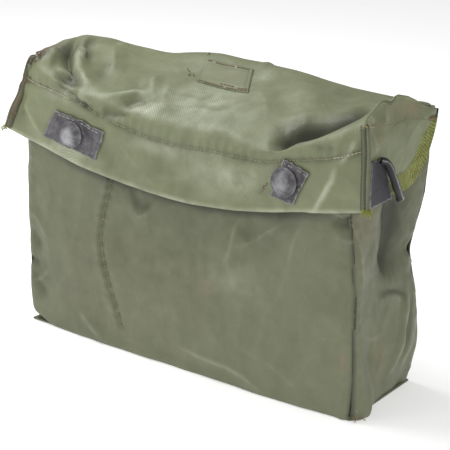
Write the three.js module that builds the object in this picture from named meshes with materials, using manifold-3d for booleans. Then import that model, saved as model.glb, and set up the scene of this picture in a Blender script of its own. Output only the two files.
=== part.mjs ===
// A mail sack: a box-shaped carrying bag of rubber-coated canvas with a boxed lid, two press
// fasteners, leather tabs, a sewn-in divider and a webbing strap on each side.
// Millimetres. X runs along the front, Y from front to back, Z up; the origin is the middle of the base.
import * as THREE from "three";
import { mergeVertices } from "three/addons/utils/BufferGeometryUtils.js";
import Module from "manifold-3d";

const wasm = await Module();
wasm.setup();

// ---- Driving dimensions ----
const bodyWidth = 350;
const bodyDepth = 100;
const bodyHeight = 245;
const clothThickness = 1.6;
const panelCorner = 6;
const gap = 0.3;

const frontSag = 22; // how far the middle of the mouth's front edge hangs below its ends
const sagInset = 12; // the corners stay level this far in
const lidRearFlat = 16; // the lid stays level this far in front of its hinge
const mouthDrop = 1; // the front panel's hem lies this much below the other panels' tops

const dividerOffset = -75; // the divider stands left of the middle
const dividerDrop = 53; // the divider ends this far below the mouth
const dividerFlange = 9;

const lidFrontRoom = 8.1; // from the front panel to the back of the front flap: the fasteners sit here
const flapEndDrop = 66;
const flapMiddleDrop = 66; // measured below the sagging front edge
const flapCorner = 3;
const facingThickness = 1.2;
const facingTopDrop = 26;
const facingHem = 7;
const bindingWidth = 6;
const bindingDepth = 4;

const hingeTapeHeight = 20;
const hingeTapeInset = 4;

const patchWidth = 58;
const patchLength = 30;
const patchFromHinge = 20;
const patchOffset = -8;

const fastenerSpacing = 220;
const fastenerDrop = 54;
const capRadius = 12;
const capHeight = 4.4;
const capWall = 1;
const capPostRadius = 1.8;
const socketRadius = 9.8;
const socketCupRadius = 8.6;
const socketHeight = 3.2;
const socketBase = 0.8;
const studFlangeRadius = 7;
const studFlangeThickness = 1;
const studPostRadius = 3.4;
const studPostHeight = 2.4;
const studBoreDepth = 2.6;
const eyeletPostRadius = 1.8;
const eyeletFlangeRadius = 6;
const eyeletFlangeThickness = 1;
const holeClearance = 0.5;

const studPatchSide = 26;
const studPatchThickness = 1.2;
const fastenerTabThickness = 1.8;

const strapWidth = 25;
const strapThickness = 1.4;

const keeperHeight = 40;
const keeperDrop = 26;
const keeperLeg = 20;
const keeperBend = 3.5;
const keeperLip = 8;
const keeperThickness = 1.8;

const roundSteps = 24;
const widthSteps = 24; // the lid's top and its flap share these, so their meeting edges match

// ---- Places worked out from them ----
const halfWidth = bodyWidth / 2;
const halfDepth = bodyDepth / 2;
const bodyFront = -halfDepth;
const lidUnderside = bodyHeight + gap;
const wingInside = halfWidth + gap + strapThickness + gap;
const wingOutside = wingInside + clothThickness;
const flapInside = bodyFront - lidFrontRoom;
const flapOutside = flapInside - clothThickness;
const hingeY = halfDepth + 2 * (clothThickness + gap);
const sagStart = hingeY - lidRearFlat;
const bindingStart = wingOutside + gap;

// The stack of one fastener, from the body outwards.
const studPatchFace = bodyFront - gap;
const studBack = studPatchFace - studPatchThickness - gap;
const socketRim = studBack - studFlangeThickness - gap;
const facingInside = flapInside + gap + facingThickness;
const tabInside = flapOutside - gap;
const capBack = tabInside - fastenerTabThickness - gap;

// ---- Finishes ----
function finish(color, roughness, metalness = 0) {
  return new THREE.MeshStandardMaterial({ color, roughness, metalness });
}
const coatedCanvas = () => finish(0x6b7058, 0.45);
const lidCanvas = () => finish(0x73775f, 0.42);
const webbing = () => finish(0x7c8243, 0.85);
const blackLeather = () => finish(0x4a4a4c, 0.6);
const wornSteel = () => finish(0x6f7073, 0.45, 0.7);

// ---- Shape helpers ----
// Each plane says where a flat outline's two directions and its thickness point.
const planes = {
  front: new THREE.Matrix4().makeBasis(
    new THREE.Vector3(1, 0, 0), new THREE.Vector3(0, 0, 1), new THREE.Vector3(0, -1, 0)),
  side: new THREE.Matrix4().makeBasis(
    new THREE.Vector3(0, 1, 0), new THREE.Vector3(0, 0, 1), new THREE.Vector3(1, 0, 0)),
  level: new THREE.Matrix4(),
};

function named(name, geometry, material) {
  const mesh = new THREE.Mesh(geometry, material);
  mesh.name = name;
  return mesh;
}

// A flat piece cut to an outline; `start` is where its thickness begins along the plane's third direction.
function flatPiece(name, outline, thickness, plane, start, material) {
  const geometry = new THREE.ExtrudeGeometry(outline, {
    depth: thickness, bevelEnabled: false, curveSegments: 12 });
  geometry.translate(0, 0, start);
  const mesh = named(name, geometry, material);
  mesh.quaternion.setFromRotationMatrix(planes[plane]);
  return mesh;
}

function roundedRectangle(left, right, bottom, top, radius) {
  const shape = new THREE.Shape();
  shape.moveTo(left + radius, bottom);
  shape.lineTo(right - radius, bottom);
  shape.absarc(right - radius, bottom + radius, radius, -Math.PI / 2, 0);
  shape.lineTo(right, top - radius);
  shape.absarc(right - radius, top - radius, radius, 0, Math.PI / 2);
  shape.lineTo(left + radius, top);
  shape.absarc(left + radius, top - radius, radius, Math.PI / 2, Math.PI);
  shape.lineTo(left, bottom + radius);
  shape.absarc(left + radius, bottom + radius, radius, Math.PI, 1.5 * Math.PI);
  return shape;
}

function roundHole(x, y, radius) {
  const hole = new THREE.Path();
  hole.absarc(x, y, radius, 0, 2 * Math.PI, true);
  return hole;
}

// A parabola that is 1 at the middle of the width and falls to 0 a little inside the side panels.
const middleness = (x) => Math.max(0, 1 - (x / (halfWidth - sagInset)) ** 2);

// How far the lid and the mouth's front edge hang at x, a share `reach` of the way from back to front.
const sagAt = (x, reach = 1) => frontSag * middleness(x) * Math.max(0, reach);

// Points of an edge that follows `height` from one x to another.
function edgePoints(fromX, toX, height, steps = widthSteps) {
  const points = [];
  for (let i = 0; i <= steps; i++) {
    const x = fromX + ((toX - fromX) * i) / steps;
    points.push(new THREE.Vector2(x, height(x)));
  }
  return points;
}

// A panel bounded above and below by two curved edges.
function betweenEdges(fromX, toX, lower, upper) {
  return new THREE.Shape([...edgePoints(fromX, toX, lower), ...edgePoints(toX, fromX, upper)]);
}

// A level sheet, bent to the lid's sag; `steps` divides it from side to side and from front to back.
function saggingSheet(name, left, right, front, back, base, steps) {
  const size = [right - left, back - front, clothThickness];
  const geometry = new THREE.BoxGeometry(...size, ...steps, 1);
  geometry.translate((left + right) / 2, (front + back) / 2, base + clothThickness / 2);
  const place = geometry.getAttribute("position");
  for (let i = 0; i < place.count; i++) {
    const reach = (sagStart - place.getY(i)) / (sagStart - flapOutside);
    place.setZ(i, place.getZ(i) - sagAt(place.getX(i), reach));
  }
  return named(name, geometry, lidCanvas());
}

// A turned piece on an axis along Y, at (x, z); heights in the profile run forwards from `back`.
function turned(name, profile, x, back, z, material) {
  const points = profile.map(([radius, height]) => new THREE.Vector2(radius, height));
  const mesh = named(name, new THREE.LatheGeometry(points, roundSteps), material);
  mesh.rotation.x = Math.PI;
  mesh.position.set(x, back, z);
  return mesh;
}

// A band of constant width along a curve drawn through the given points, turned onto the side plane.
function bandOutline(points, width, steps = 14) {
  const curve = new THREE.CatmullRomCurve3(points.map(([y, z]) => new THREE.Vector3(y, z, 0)));
  const left = [];
  const right = [];
  for (let i = 0; i <= steps; i++) {
    const at = curve.getPoint(i / steps);
    const along = curve.getTangent(i / steps);
    const across = new THREE.Vector2(-along.y, along.x).normalize().multiplyScalar(width / 2);
    left.push(new THREE.Vector2(at.x + across.x, at.y + across.y));
    right.unshift(new THREE.Vector2(at.x - across.x, at.y - across.y));
  }
  return new THREE.Shape([...left, ...right]);
}

function solidOf(geometry) {
  const bare = geometry.clone();
  bare.deleteAttribute("normal");
  bare.deleteAttribute("uv");
  const merged = mergeVertices(bare, 1e-3);
  return new wasm.Manifold(new wasm.Mesh({
    numProp: 3,
    vertProperties: merged.getAttribute("position").array,
    triVerts: new Uint32Array(merged.index.array),
  }));
}

function geometryOf(solid) {
  const mesh = solid.getMesh();
  const geometry = new THREE.BufferGeometry();
  geometry.setAttribute("position", new THREE.BufferAttribute(mesh.vertProperties, 3));
  geometry.setIndex(new THREE.BufferAttribute(mesh.triVerts, 1));
  geometry.computeVertexNormals();
  return geometry;
}

// ---- The sewn body ----
function bottomPanel() {
  const outline = roundedRectangle(-halfWidth, halfWidth, -halfDepth, halfDepth, panelCorner);
  return flatPiece("bottom_panel", outline, clothThickness, "level", 0, coatedCanvas());
}

const panelFoot = clothThickness + gap;

function frontPanel() {
  const outline = betweenEdges(-halfWidth, halfWidth, () => panelFoot, (x) => bodyHeight - mouthDrop - sagAt(x));
  for (const side of [-1, 1])
    outline.holes.push(roundHole(side * fastenerSpacing / 2, fastenerHeight, eyeletPostRadius + holeClearance));
  return flatPiece("front_panel", outline, clothThickness, "front",
    halfDepth - clothThickness, coatedCanvas());
}

function backPanel() {
  const outline = roundedRectangle(-halfWidth, halfWidth, panelFoot, bodyHeight, panelCorner / 2);
  return flatPiece("back_panel", outline, clothThickness, "front", -halfDepth, coatedCanvas());
}

function gusset(sideName, side) {
  const reach = halfDepth - clothThickness - gap;
  const outline = roundedRectangle(-reach, reach, panelFoot, bodyHeight, panelCorner / 2);
  const start = side > 0 ? halfWidth - clothThickness : -halfWidth;
  return flatPiece(sideName + "_gusset", outline, clothThickness, "side", start, coatedCanvas());
}

// The divider is sewn to the front and back panels through a flange folded at each end.
function divider() {
  const reach = halfDepth - clothThickness - gap;
  const side = dividerOffset + clothThickness;
  const outline = new THREE.Shape();
  outline.moveTo(dividerOffset, -reach);
  outline.lineTo(side + dividerFlange, -reach);
  outline.lineTo(side + dividerFlange, -reach + clothThickness);
  outline.lineTo(side, -reach + clothThickness);
  outline.lineTo(side, reach - clothThickness);
  outline.lineTo(side + dividerFlange, reach - clothThickness);
  outline.lineTo(side + dividerFlange, reach);
  outline.lineTo(dividerOffset, reach);
  return flatPiece("divider", outline, bodyHeight - dividerDrop - panelFoot, "level", panelFoot, coatedCanvas());
}

// The strip of the lid's rear seam that is stitched down over the back panel.
function hingeTape() {
  const reach = halfWidth - hingeTapeInset;
  const outline = roundedRectangle(-reach, reach, bodyHeight - hingeTapeHeight, bodyHeight, gap);
  return flatPiece("hinge_tape", outline, clothThickness, "front",
    -halfDepth - gap - clothThickness, lidCanvas());
}

// The webbing hangs from the back corner and curves forward to the keeper; [behind the middle, below the top].
const strapRoute = [[41, 16], [32, 35], [20, 49], [2, 54], [-20, 50]];

function sideStrap(sideName, side) {
  const fromBack = halfDepth - 50; // the route keeps its distance from the back corner
  const route = strapRoute.map(([y, drop]) => [y + fromBack, bodyHeight - drop]);
  const start = side > 0 ? halfWidth + gap : -halfWidth - gap - strapThickness;
  return flatPiece(sideName + "_side_strap", bandOutline(route, strapWidth), strapThickness,
    "side", start, webbing());
}

// ---- The lid ----
const fastenerHeight = lidUnderside - fastenerDrop;
const flapHem = (x) => lidUnderside - gap
  - (flapEndDrop + (flapMiddleDrop + frontSag - flapEndDrop) * middleness(x));

function lidTop() {
  return saggingSheet("lid_top", -wingOutside, wingOutside, flapOutside, hingeY,
    lidUnderside, [widthSteps, 8]);
}

function frontFlap() {
  const outline = betweenEdges(-wingOutside, wingOutside, flapHem, (x) => lidUnderside - gap - sagAt(x));
  for (const side of [-1, 1])
    outline.holes.push(roundHole(side * fastenerSpacing / 2, fastenerHeight, capPostRadius + holeClearance));
  return flatPiece("front_flap", outline, clothThickness, "front", -flapInside, lidCanvas());
}

function flapFacing() {
  const reach = wingInside - gap - flapCorner;
  const outline = betweenEdges(-reach, reach,
    (x) => flapHem(x) + facingHem, (x) => lidUnderside - sagAt(x) - facingTopDrop);
  for (const side of [-1, 1])
    outline.holes.push(roundHole(side * fastenerSpacing / 2, fastenerHeight, capPostRadius + holeClearance));
  return flatPiece("flap_facing", outline, facingThickness, "front", -facingInside, lidCanvas());
}

// The wing's free edge falls steeply from the back corner, then runs to the flap's hem.
// [in front of the hinge, below the top].
const wingEdge = [[14, 20], [25, 30], [33, 40], [42, 46], [61, 51]];

function wing(sideName, side) {
  const front = flapInside + gap;
  const top = lidUnderside - gap;
  const outline = new THREE.Shape();
  outline.moveTo(front, top);
  outline.lineTo(front, top - flapEndDrop);
  const edge = wingEdge.map(([forward, drop]) => new THREE.Vector2(hingeY - forward, top - drop));
  outline.splineThru([...edge.reverse(), new THREE.Vector2(hingeY - flapCorner, top - flapCorner)]);
  outline.lineTo(hingeY - flapCorner, top);
  const start = side > 0 ? wingInside : -wingOutside;
  return flatPiece(sideName + "_wing", outline, clothThickness, "side", start, lidCanvas());
}

// The tape that closes the seam between flap and wing; it stands out sideways as a ridge.
function cornerBinding(sideName, side) {
  const outline = roundedRectangle(flapOutside, flapOutside + bindingDepth,
    lidUnderside - gap - flapEndDrop, lidUnderside - gap, 1);
  const start = side > 0 ? bindingStart : -bindingStart - bindingWidth;
  return flatPiece(sideName + "_corner_binding", outline, bindingWidth, "side", start, lidCanvas());
}

function topPatch() {
  const back = hingeY - patchFromHinge;
  return saggingSheet("top_patch", patchOffset - patchWidth / 2, patchOffset + patchWidth / 2,
    back - patchLength, back, lidUnderside + clothThickness + gap, [6, 4]);
}

// ---- The press fasteners ----
// Outlines of the leather under each cap, around the cap's middle.
const tabOutlines = {
  left: [[-33, -11], [-24, 13], [28, 12], [36, 4], [23, -18]],
  right: [[-12, -17], [-2, 16], [22, 11], [9, -19]],
};

function fastenerTab(sideName, x) {
  const outline = new THREE.Shape(tabOutlines[sideName].map(
    ([dx, dz]) => new THREE.Vector2(x + dx, fastenerHeight + dz)).reverse());
  outline.holes.push(roundHole(x, fastenerHeight, capPostRadius + holeClearance));
  return flatPiece(sideName + "_fastener_tab", outline, fastenerTabThickness, "front",
    -tabInside, blackLeather());
}

// A hollow dome whose post goes through tab, flap and facing into the socket's base.
function fastenerCap(sideName, x) {
  const postEnd = socketRim - socketHeight + socketBase / 2;
  const postLength = postEnd - capBack;
  const shoulder = capHeight * 0.45;
  return turned(sideName + "_fastener_cap", [
    [0, -postLength],
    [capPostRadius, -postLength],
    [capPostRadius, capHeight - capWall],
    [capRadius * 0.55, capHeight - 1.25 * capWall],
    [capRadius - capWall, shoulder],
    [capRadius - capWall, 0],
    [capRadius, 0],
    [capRadius, shoulder],
    [capRadius * 0.86, capHeight * 0.74],
    [capRadius * 0.6, capHeight * 0.94],
    [0, capHeight],
  ], x, capBack, fastenerHeight, wornSteel());
}

// The cup is wider than the stud, so that the lid's swing clears it.
function fastenerSocket(sideName, x) {
  const bore = capPostRadius + holeClearance;
  return turned(sideName + "_fastener_socket", [
    [bore, socketHeight - socketBase],
    [socketCupRadius, socketHeight - socketBase],
    [socketCupRadius, 0],
    [socketRadius, 0],
    [socketRadius, socketHeight],
    [bore, socketHeight],
    [bore, socketHeight - socketBase],
  ], x, socketRim, fastenerHeight, wornSteel());
}

function fastenerStud(sideName, x) {
  const bore = eyeletPostRadius + holeClearance;
  const tip = studFlangeThickness + studPostHeight;
  return turned(sideName + "_fastener_stud", [
    [0, studBoreDepth],
    [bore, studBoreDepth],
    [bore, 0],
    [studFlangeRadius, 0],
    [studFlangeRadius, studFlangeThickness],
    [studPostRadius - 0.4, studFlangeThickness],
    [studPostRadius, tip - 0.8],
    [studPostRadius - 0.5, tip],
    [0, tip],
  ], x, studBack, fastenerHeight, wornSteel());
}

// The eyelet's flange lies inside the bag; its post goes through panel and patch into the stud.
function fastenerEyelet(sideName, x) {
  const flangeBack = bodyFront + clothThickness + gap + eyeletFlangeThickness;
  const postTip = flangeBack - studBack + studBoreDepth - gap;
  return turned(sideName + "_fastener_eyelet", [
    [0, 0],
    [eyeletFlangeRadius, 0],
    [eyeletFlangeRadius, eyeletFlangeThickness],
    [eyeletPostRadius, eyeletFlangeThickness],
    [eyeletPostRadius, postTip],
    [0, postTip],
  ], x, flangeBack, fastenerHeight, wornSteel());
}

function studPatch(sideName, x) {
  const reach = studPatchSide / 2;
  const outline = roundedRectangle(x - reach, x + reach, fastenerHeight - reach, fastenerHeight + reach, 3);
  outline.holes.push(roundHole(x, fastenerHeight, eyeletPostRadius + holeClearance));
  return flatPiece(sideName + "_stud_patch", outline, studPatchThickness, "front",
    -studPatchFace, blackLeather());
}

// ---- The leather keepers ----
// A strip sewn behind the corner binding; its free end bends outwards over the webbing.
function keeper(sideName, side) {
  const root = flapOutside + bindingDepth + gap + keeperThickness + gap;
  const inside = wingOutside + gap;
  const outside = inside + keeperThickness;
  const bendCentre = inside + keeperThickness + keeperBend;
  const legEnd = root + keeperLeg;
  const outline = new THREE.Shape();
  outline.moveTo(inside, root);
  outline.lineTo(outside, root);
  outline.lineTo(outside, legEnd);
  outline.absarc(bendCentre, legEnd, keeperBend, Math.PI, Math.PI / 2, true);
  outline.lineTo(bendCentre + keeperLip, legEnd + keeperBend);
  outline.lineTo(bendCentre + keeperLip, legEnd + keeperBend + keeperThickness);
  outline.lineTo(bendCentre, legEnd + keeperBend + keeperThickness);
  outline.absarc(bendCentre, legEnd, keeperBend + keeperThickness, Math.PI / 2, Math.PI, false);
  const geometry = new THREE.ExtrudeGeometry(outline, {
    depth: keeperHeight, bevelEnabled: false, curveSegments: 8 });
  geometry.translate(0, 0, lidUnderside - keeperDrop - keeperHeight);
  const mesh = named(sideName + "_keeper", geometry, blackLeather());
  mesh.scale.x = side;
  return mesh;
}

// ---- The assembly ----
const sides = [["right", 1], ["left", -1]];

const bag = new THREE.Group();
bag.add(bottomPanel(), frontPanel(), backPanel(), divider(), hingeTape());
const lid = new THREE.Group();
lid.add(lidTop(), frontFlap(), flapFacing(), topPatch());

for (const [sideName, side] of sides) {
  const x = side * fastenerSpacing / 2;
  bag.add(gusset(sideName, side), sideStrap(sideName, side), studPatch(sideName, x));
  bag.add(fastenerStud(sideName, x), fastenerEyelet(sideName, x));
  lid.add(wing(sideName, side), cornerBinding(sideName, side), fastenerTab(sideName, x));
  lid.add(fastenerCap(sideName, x), fastenerSocket(sideName, x), keeper(sideName, side));
}

const sack = new THREE.Group();
sack.add(bag, lid);
export default sack;
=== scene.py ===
# %% [markdown]
# # A mail sack of rubber-coated canvas
# The sack is a box-shaped carrying bag. Its body is sewn from panels, its boxed lid is one cloth that
# runs from the back seam over the top and down the front, and two press fasteners on leather tabs
# close it. We build every cloth piece as one soft sheet, then press folds, sags and seams into it.
# Lengths in this lesson are in millimetres, and each piece is scaled to metres when it is made.

# %% Load the frame
import math

import bmesh
import bpy
import numpy as np
from mathutils import Matrix, Vector, noise


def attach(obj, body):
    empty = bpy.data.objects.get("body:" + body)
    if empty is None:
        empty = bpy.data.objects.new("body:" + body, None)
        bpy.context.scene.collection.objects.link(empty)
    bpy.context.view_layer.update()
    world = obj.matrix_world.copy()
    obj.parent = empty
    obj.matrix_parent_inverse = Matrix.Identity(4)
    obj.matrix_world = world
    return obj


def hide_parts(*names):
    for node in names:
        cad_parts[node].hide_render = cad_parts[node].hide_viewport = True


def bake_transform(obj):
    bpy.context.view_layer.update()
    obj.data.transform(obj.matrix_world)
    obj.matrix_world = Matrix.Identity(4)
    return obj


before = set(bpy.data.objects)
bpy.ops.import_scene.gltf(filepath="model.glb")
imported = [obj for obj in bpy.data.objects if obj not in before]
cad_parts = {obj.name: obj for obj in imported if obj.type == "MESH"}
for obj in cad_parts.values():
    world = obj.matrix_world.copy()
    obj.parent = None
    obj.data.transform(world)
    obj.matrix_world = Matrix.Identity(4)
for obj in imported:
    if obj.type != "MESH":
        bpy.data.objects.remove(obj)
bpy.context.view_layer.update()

# %% [markdown]
# ## The room
# A product picture needs very little: a pale floor that runs past the edge of the view, a bright
# even sky and a few large soft lights. The camera is set up first, because every choice of scale
# for folds and weave depends on how large the sack will be seen. Two small helpers come before it,
# because every piece is put into the scene in the same way.

# %% Scene helpers
MM = 0.001


def stand(name, data):
    """Puts a mesh, a lamp or a camera into the scene."""
    thing = bpy.data.objects.new(name, data)
    bpy.context.scene.collection.objects.link(thing)
    return thing


def mesh_from(bm, name, finish):
    """Ends a bmesh and keeps its shape as a mesh with one finish."""
    mesh = bpy.data.meshes.new(name)
    bm.to_mesh(mesh)
    bm.free()
    mesh.materials.append(finish)
    return mesh


# %% Camera
camera_place = Vector((678, -942, 507)) * MM
camera_azimuth = math.radians(35.32)
camera_elevation = math.radians(18.59)
camera_roll = math.radians(1.34)
lens_length = 112.4

backward = Vector((
    math.sin(camera_azimuth) * math.cos(camera_elevation),
    -math.cos(camera_azimuth) * math.cos(camera_elevation),
    math.sin(camera_elevation),
))
level_right = Vector((math.cos(camera_azimuth), math.sin(camera_azimuth), 0))
level_up = backward.cross(level_right)
right = level_right * math.cos(camera_roll) + level_up * math.sin(camera_roll)
up = level_up * math.cos(camera_roll) - level_right * math.sin(camera_roll)

camera = stand("camera", bpy.data.cameras.new("camera"))
camera.data.lens = lens_length
camera.data.clip_start, camera.data.clip_end = 0.05, 60
camera.matrix_world = Matrix.Translation(camera_place) @ Matrix((right, up, backward)).transposed().to_4x4()
bpy.context.scene.camera = camera
print("camera stands", round(camera_place.length, 2), "m away")


# %% Floor and sky
def linear(*rgb):
    """A colour given as 0 to 255, in the linear form that shaders use."""
    return [((c / 255 + 0.055) / 1.055) ** 2.4 if c > 10 else c / 255 / 12.92 for c in rgb] + [1]


floor_half = 6
floor_colour = linear(250, 250, 250)
floor_glow = 0.36
sky_strength = 0.42
white = (1, 1, 1, 1)

floor_finish = bpy.data.materials.new("floor_paper")
floor_finish.use_nodes = True
paper = floor_finish.node_tree.nodes["Principled BSDF"]
paper.inputs["Base Color"].default_value = floor_colour
paper.inputs["Roughness"].default_value = 0.9
paper.inputs["Specular IOR Level"].default_value = 0.1
paper.inputs["Emission Color"].default_value = white
paper.inputs["Emission Strength"].default_value = floor_glow

bm = bmesh.new()
bmesh.ops.create_grid(bm, x_segments=2, y_segments=2, size=floor_half)
stand("floor", mesh_from(bm, "floor", floor_finish))

world = bpy.data.worlds.new("sky")
world.use_nodes = True
sky = world.node_tree.nodes["Background"]
sky.inputs["Color"].default_value = white
sky.inputs["Strength"].default_value = sky_strength
bpy.context.scene.world = world
bpy.context.scene.view_settings.view_transform = "Standard"
print("sky", sky_strength, "and floor glow", floor_glow)

# %% Lights
lamps_aim = Vector((0, 0, 0.12))


def soft_light(name, place, power, side):
    """A square lamp that looks at the middle of the sack."""
    lamp = bpy.data.lights.new(name, "AREA")
    lamp.energy, lamp.size = power, side
    holder = stand(name, lamp)
    holder.location = place
    holder.rotation_euler = (lamps_aim - holder.location).to_track_quat("-Z", "Y").to_euler()


soft_light("overhead", (-0.8, -0.1, 1.5), power=17, side=0.9)
soft_light("front_left", (-1.2, -1.8, 0.9), power=10, side=1.0)
soft_light("right", (1.9, -0.7, 0.8), power=9, side=0.9)

# %% [markdown]
# ## Finishes
# The sack has five kinds of finish: coated canvas, webbing, thread, leather and metal. Coated canvas
# shows its plain weave through a thin rubber skin, so it has a fine bump, a satin gloss that comes
# and goes, and pale rub marks on its ridges. The weave follows the cloth, so it reads the sheet's own
# map, which is laid out in metres. The blotches ignore the cloth and read object coordinates. Each
# sheet also carries a small painted attribute called marks: red for wear and for painted highlights,
# green for grime and for painted shade in folds, seams and under edges, blue for rust and clay stains.


# %% A small helper for node trees
class Finish:
    """A material whose nodes are added one call at a time."""

    def __init__(self, name, roughness=0.5, metallic=0.0):
        self.material = bpy.data.materials.new(name)
        self.material.use_nodes = True
        self.tree = self.material.node_tree
        self.shader = self.tree.nodes["Principled BSDF"]
        self.shader.inputs["Roughness"].default_value = roughness
        self.shader.inputs["Metallic"].default_value = metallic

    def put(self, socket, value):
        if isinstance(value, bpy.types.NodeSocket):
            self.tree.links.new(value, socket)
        else:
            socket.default_value = value

    def add(self, kind, inputs=(), output=0, **settings):
        node = self.tree.nodes.new("ShaderNode" + kind)
        for key, value in settings.items():
            setattr(node, key, value)
        for key, value in dict(inputs).items():
            self.put(node.inputs[key], value)
        return node.outputs[output]

    def sum(self, operation, a, b=0.0, c=0.0):
        return self.add("Math", {0: a, 1: b, 2: c}, operation=operation)

    def mix(self, share, first, second, blend="MIX"):
        return self.add("Mix", {0: share, 6: first, 7: second}, output=2, data_type="RGBA", blend_type=blend)

    def spread(self, value, low, high, to_low=0.0, to_high=1.0):
        return self.add("MapRange", {0: value, 1: low, 2: high, 3: to_low, 4: to_high})

    def blotches(self, scale, detail=4.0, stretch=(1, 1, 1), rough=0.6):
        where = self.add("TexCoord", output=3)
        place = self.add("Mapping", {0: where, 3: stretch})
        return self.add("TexNoise", {"Vector": place, "Scale": scale, "Detail": detail, "Roughness": rough})

    def marks(self):
        """The painted channels: wear with painted highlights, grime with painted shade, and stains."""
        paleness = self.add("SeparateColor", {0: self.add("Attribute", attribute_name="marks")})
        return paleness, paleness.node.outputs[1], paleness.node.outputs[2]

    def bumps(self, *layers):
        """Relief from (height, depth) layers, each laid over the one before."""
        normal = None
        for height, depth in layers:
            inputs = {"Height": height, "Distance": depth, "Strength": 1.0}
            if normal is not None:
                inputs["Normal"] = normal
            normal = self.add("Bump", inputs)
        self.put(self.shader.inputs["Normal"], normal)


# %% Coated canvas
weave_pitch = 1.3 * MM
# The grime colour darkens folds, seams and hollows: grime together with painted shade.
grime_and_shade_colour, clay_colour = linear(38, 40, 30), linear(132, 106, 86)
# The rub colour paints pale wear, and on the lid's top also a painted sheen.
rub_and_highlight_colour, speck_colour = linear(196, 200, 178), linear(205, 205, 195)


def weave(finish, pitch):
    """Plain weave: crossing waves of warp and weft, from 0 to 1."""
    cloth = finish.add("UVMap", uv_map="cloth")
    split = finish.add("SeparateXYZ", {0: cloth}, output=0)
    other = split.node.outputs[1]
    warp, weft = (finish.sum("SINE", finish.sum("MULTIPLY", run, math.pi / pitch)) for run in (split, other))
    return finish.sum("MULTIPLY_ADD", warp, finish.sum("MULTIPLY", weft, 0.5), 0.5)


def shaded(colour, step):
    """The same colour, lighter by step, or darker where step is below zero."""
    return linear(*[c + step for c in colour])


def coated_canvas(name, dark, light, gloss):
    """Rubber-coated canvas: dark and light are the ends of its green, gloss its lowest roughness."""
    f = Finish(name)
    threads = weave(f, weave_pitch)
    wide = f.blotches(7.0, 6.0)
    fine = f.blotches(70.0, 5.0)
    streak = f.blotches(24.0, 4.0, stretch=(1, 1, 0.35))
    green = f.mix(f.spread(wide, 0.34, 0.66), linear(*dark), linear(*light))
    green = f.mix(f.spread(fine, 0.35, 0.75, 0.0, 0.45), green, shaded(light, 14))
    green = f.mix(f.spread(streak, 0.55, 0.75, 0.0, 0.3), green, shaded(dark, -12))
    green = f.mix(f.sum("MULTIPLY", threads, 0.14), green, shaded(light, 30))
    paleness, grime_and_shade, clay = f.marks()
    # Pale rub marks, which on the lid's top also paint its sheen.
    rub_and_highlight = f.sum("MULTIPLY", paleness, f.spread(fine, 0.3, 0.62, 0.25, 1.0))
    rub_and_highlight = f.sum("MULTIPLY", rub_and_highlight, f.sum("MULTIPLY_ADD", threads, 0.95, 0.2))
    green = f.mix(f.sum("MULTIPLY", grime_and_shade, 0.8), green, grime_and_shade_colour)
    green = f.mix(f.sum("MULTIPLY", clay, f.spread(fine, 0.35, 0.6, 0.15, 0.85)), green, clay_colour)
    green = f.mix(rub_and_highlight, green, rub_and_highlight_colour)
    speck = f.spread(f.blotches(420.0, 1.0), 0.77, 0.81)
    green = f.mix(f.sum("MULTIPLY", speck, 0.3), green, speck_colour)
    f.put(f.shader.inputs["Base Color"], green)
    f.put(f.shader.inputs["Roughness"], f.spread(streak, 0.35, 0.7, gloss, gloss + 0.22))
    f.shader.inputs["Specular IOR Level"].default_value = 0.5
    f.bumps((wide, 3.0 * MM), (fine, 0.4 * MM), (threads, 0.07 * MM))
    return f.material


body_canvas = coated_canvas("body_canvas", (84, 88, 63), (105, 109, 82), 0.42)
lid_canvas = coated_canvas("lid_canvas", (100, 106, 75), (120, 126, 92), 0.42)


# %% Webbing, thread, leather and metal
def yellow_webbing():
    """Here the first mark is the hollows between the ribs, darkened as painted shade, and the second the
    blackened end.
    """
    f = Finish("webbing", 0.9)
    hollow, black, _ = f.marks()
    tint = f.mix(f.spread(f.blotches(90.0), 0.35, 0.65), linear(112, 117, 58), linear(146, 150, 88))
    tint = f.mix(f.spread(hollow, 0.45, 0.95, 0.0, 1.0), tint, linear(44, 48, 24))
    tint = f.mix(f.spread(f.blotches(700.0, 2.0), 0.5, 0.7, 0.0, 0.5), tint, linear(170, 174, 104))
    tint = f.mix(black, tint, linear(40, 40, 36))
    f.put(f.shader.inputs["Base Color"], tint)
    f.bumps((f.blotches(900.0), 0.3 * MM))
    return f.material


def spun_thread(name, dark, light):
    f = Finish(name, 0.85)
    f.put(f.shader.inputs["Base Color"], f.mix(f.blotches(260.0, 2.0), linear(*dark), linear(*light)))
    f.bumps((f.blotches(2400.0), 0.15 * MM))
    return f.material


def worn_leather(name, dark, light, scuffed):
    """Leather from dark to light grey; scuffed is how much of it is worn pale."""
    f = Finish(name, 0.5)
    where = f.add("TexCoord", output=3)
    grain = f.add("TexVoronoi", {"Vector": where, "Scale": 900.0}, feature="DISTANCE_TO_EDGE")
    scuffs = f.blotches(55.0, 8.0, rough=0.75)
    dull = f.blotches(160.0, 5.0)
    tint = f.mix(f.spread(scuffs, 0.42, 0.72), linear(*dark), linear(*light))
    tint = f.mix(f.spread(dull, 0.48, 0.66, 0.0, scuffed), tint, linear(*light))
    paleness, _, _ = f.marks()
    tint = f.mix(f.sum("MULTIPLY", paleness, f.spread(dull, 0.3, 0.55, 0.3, 1.0)), tint, linear(196, 196, 194))
    f.put(f.shader.inputs["Base Color"], tint)
    f.put(f.shader.inputs["Roughness"], f.spread(scuffs, 0.3, 0.7, 0.38, 0.68))
    f.bumps((scuffs, 0.9 * MM), (f.spread(grain, 0.0, 0.25), 0.15 * MM))
    return f.material


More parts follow.
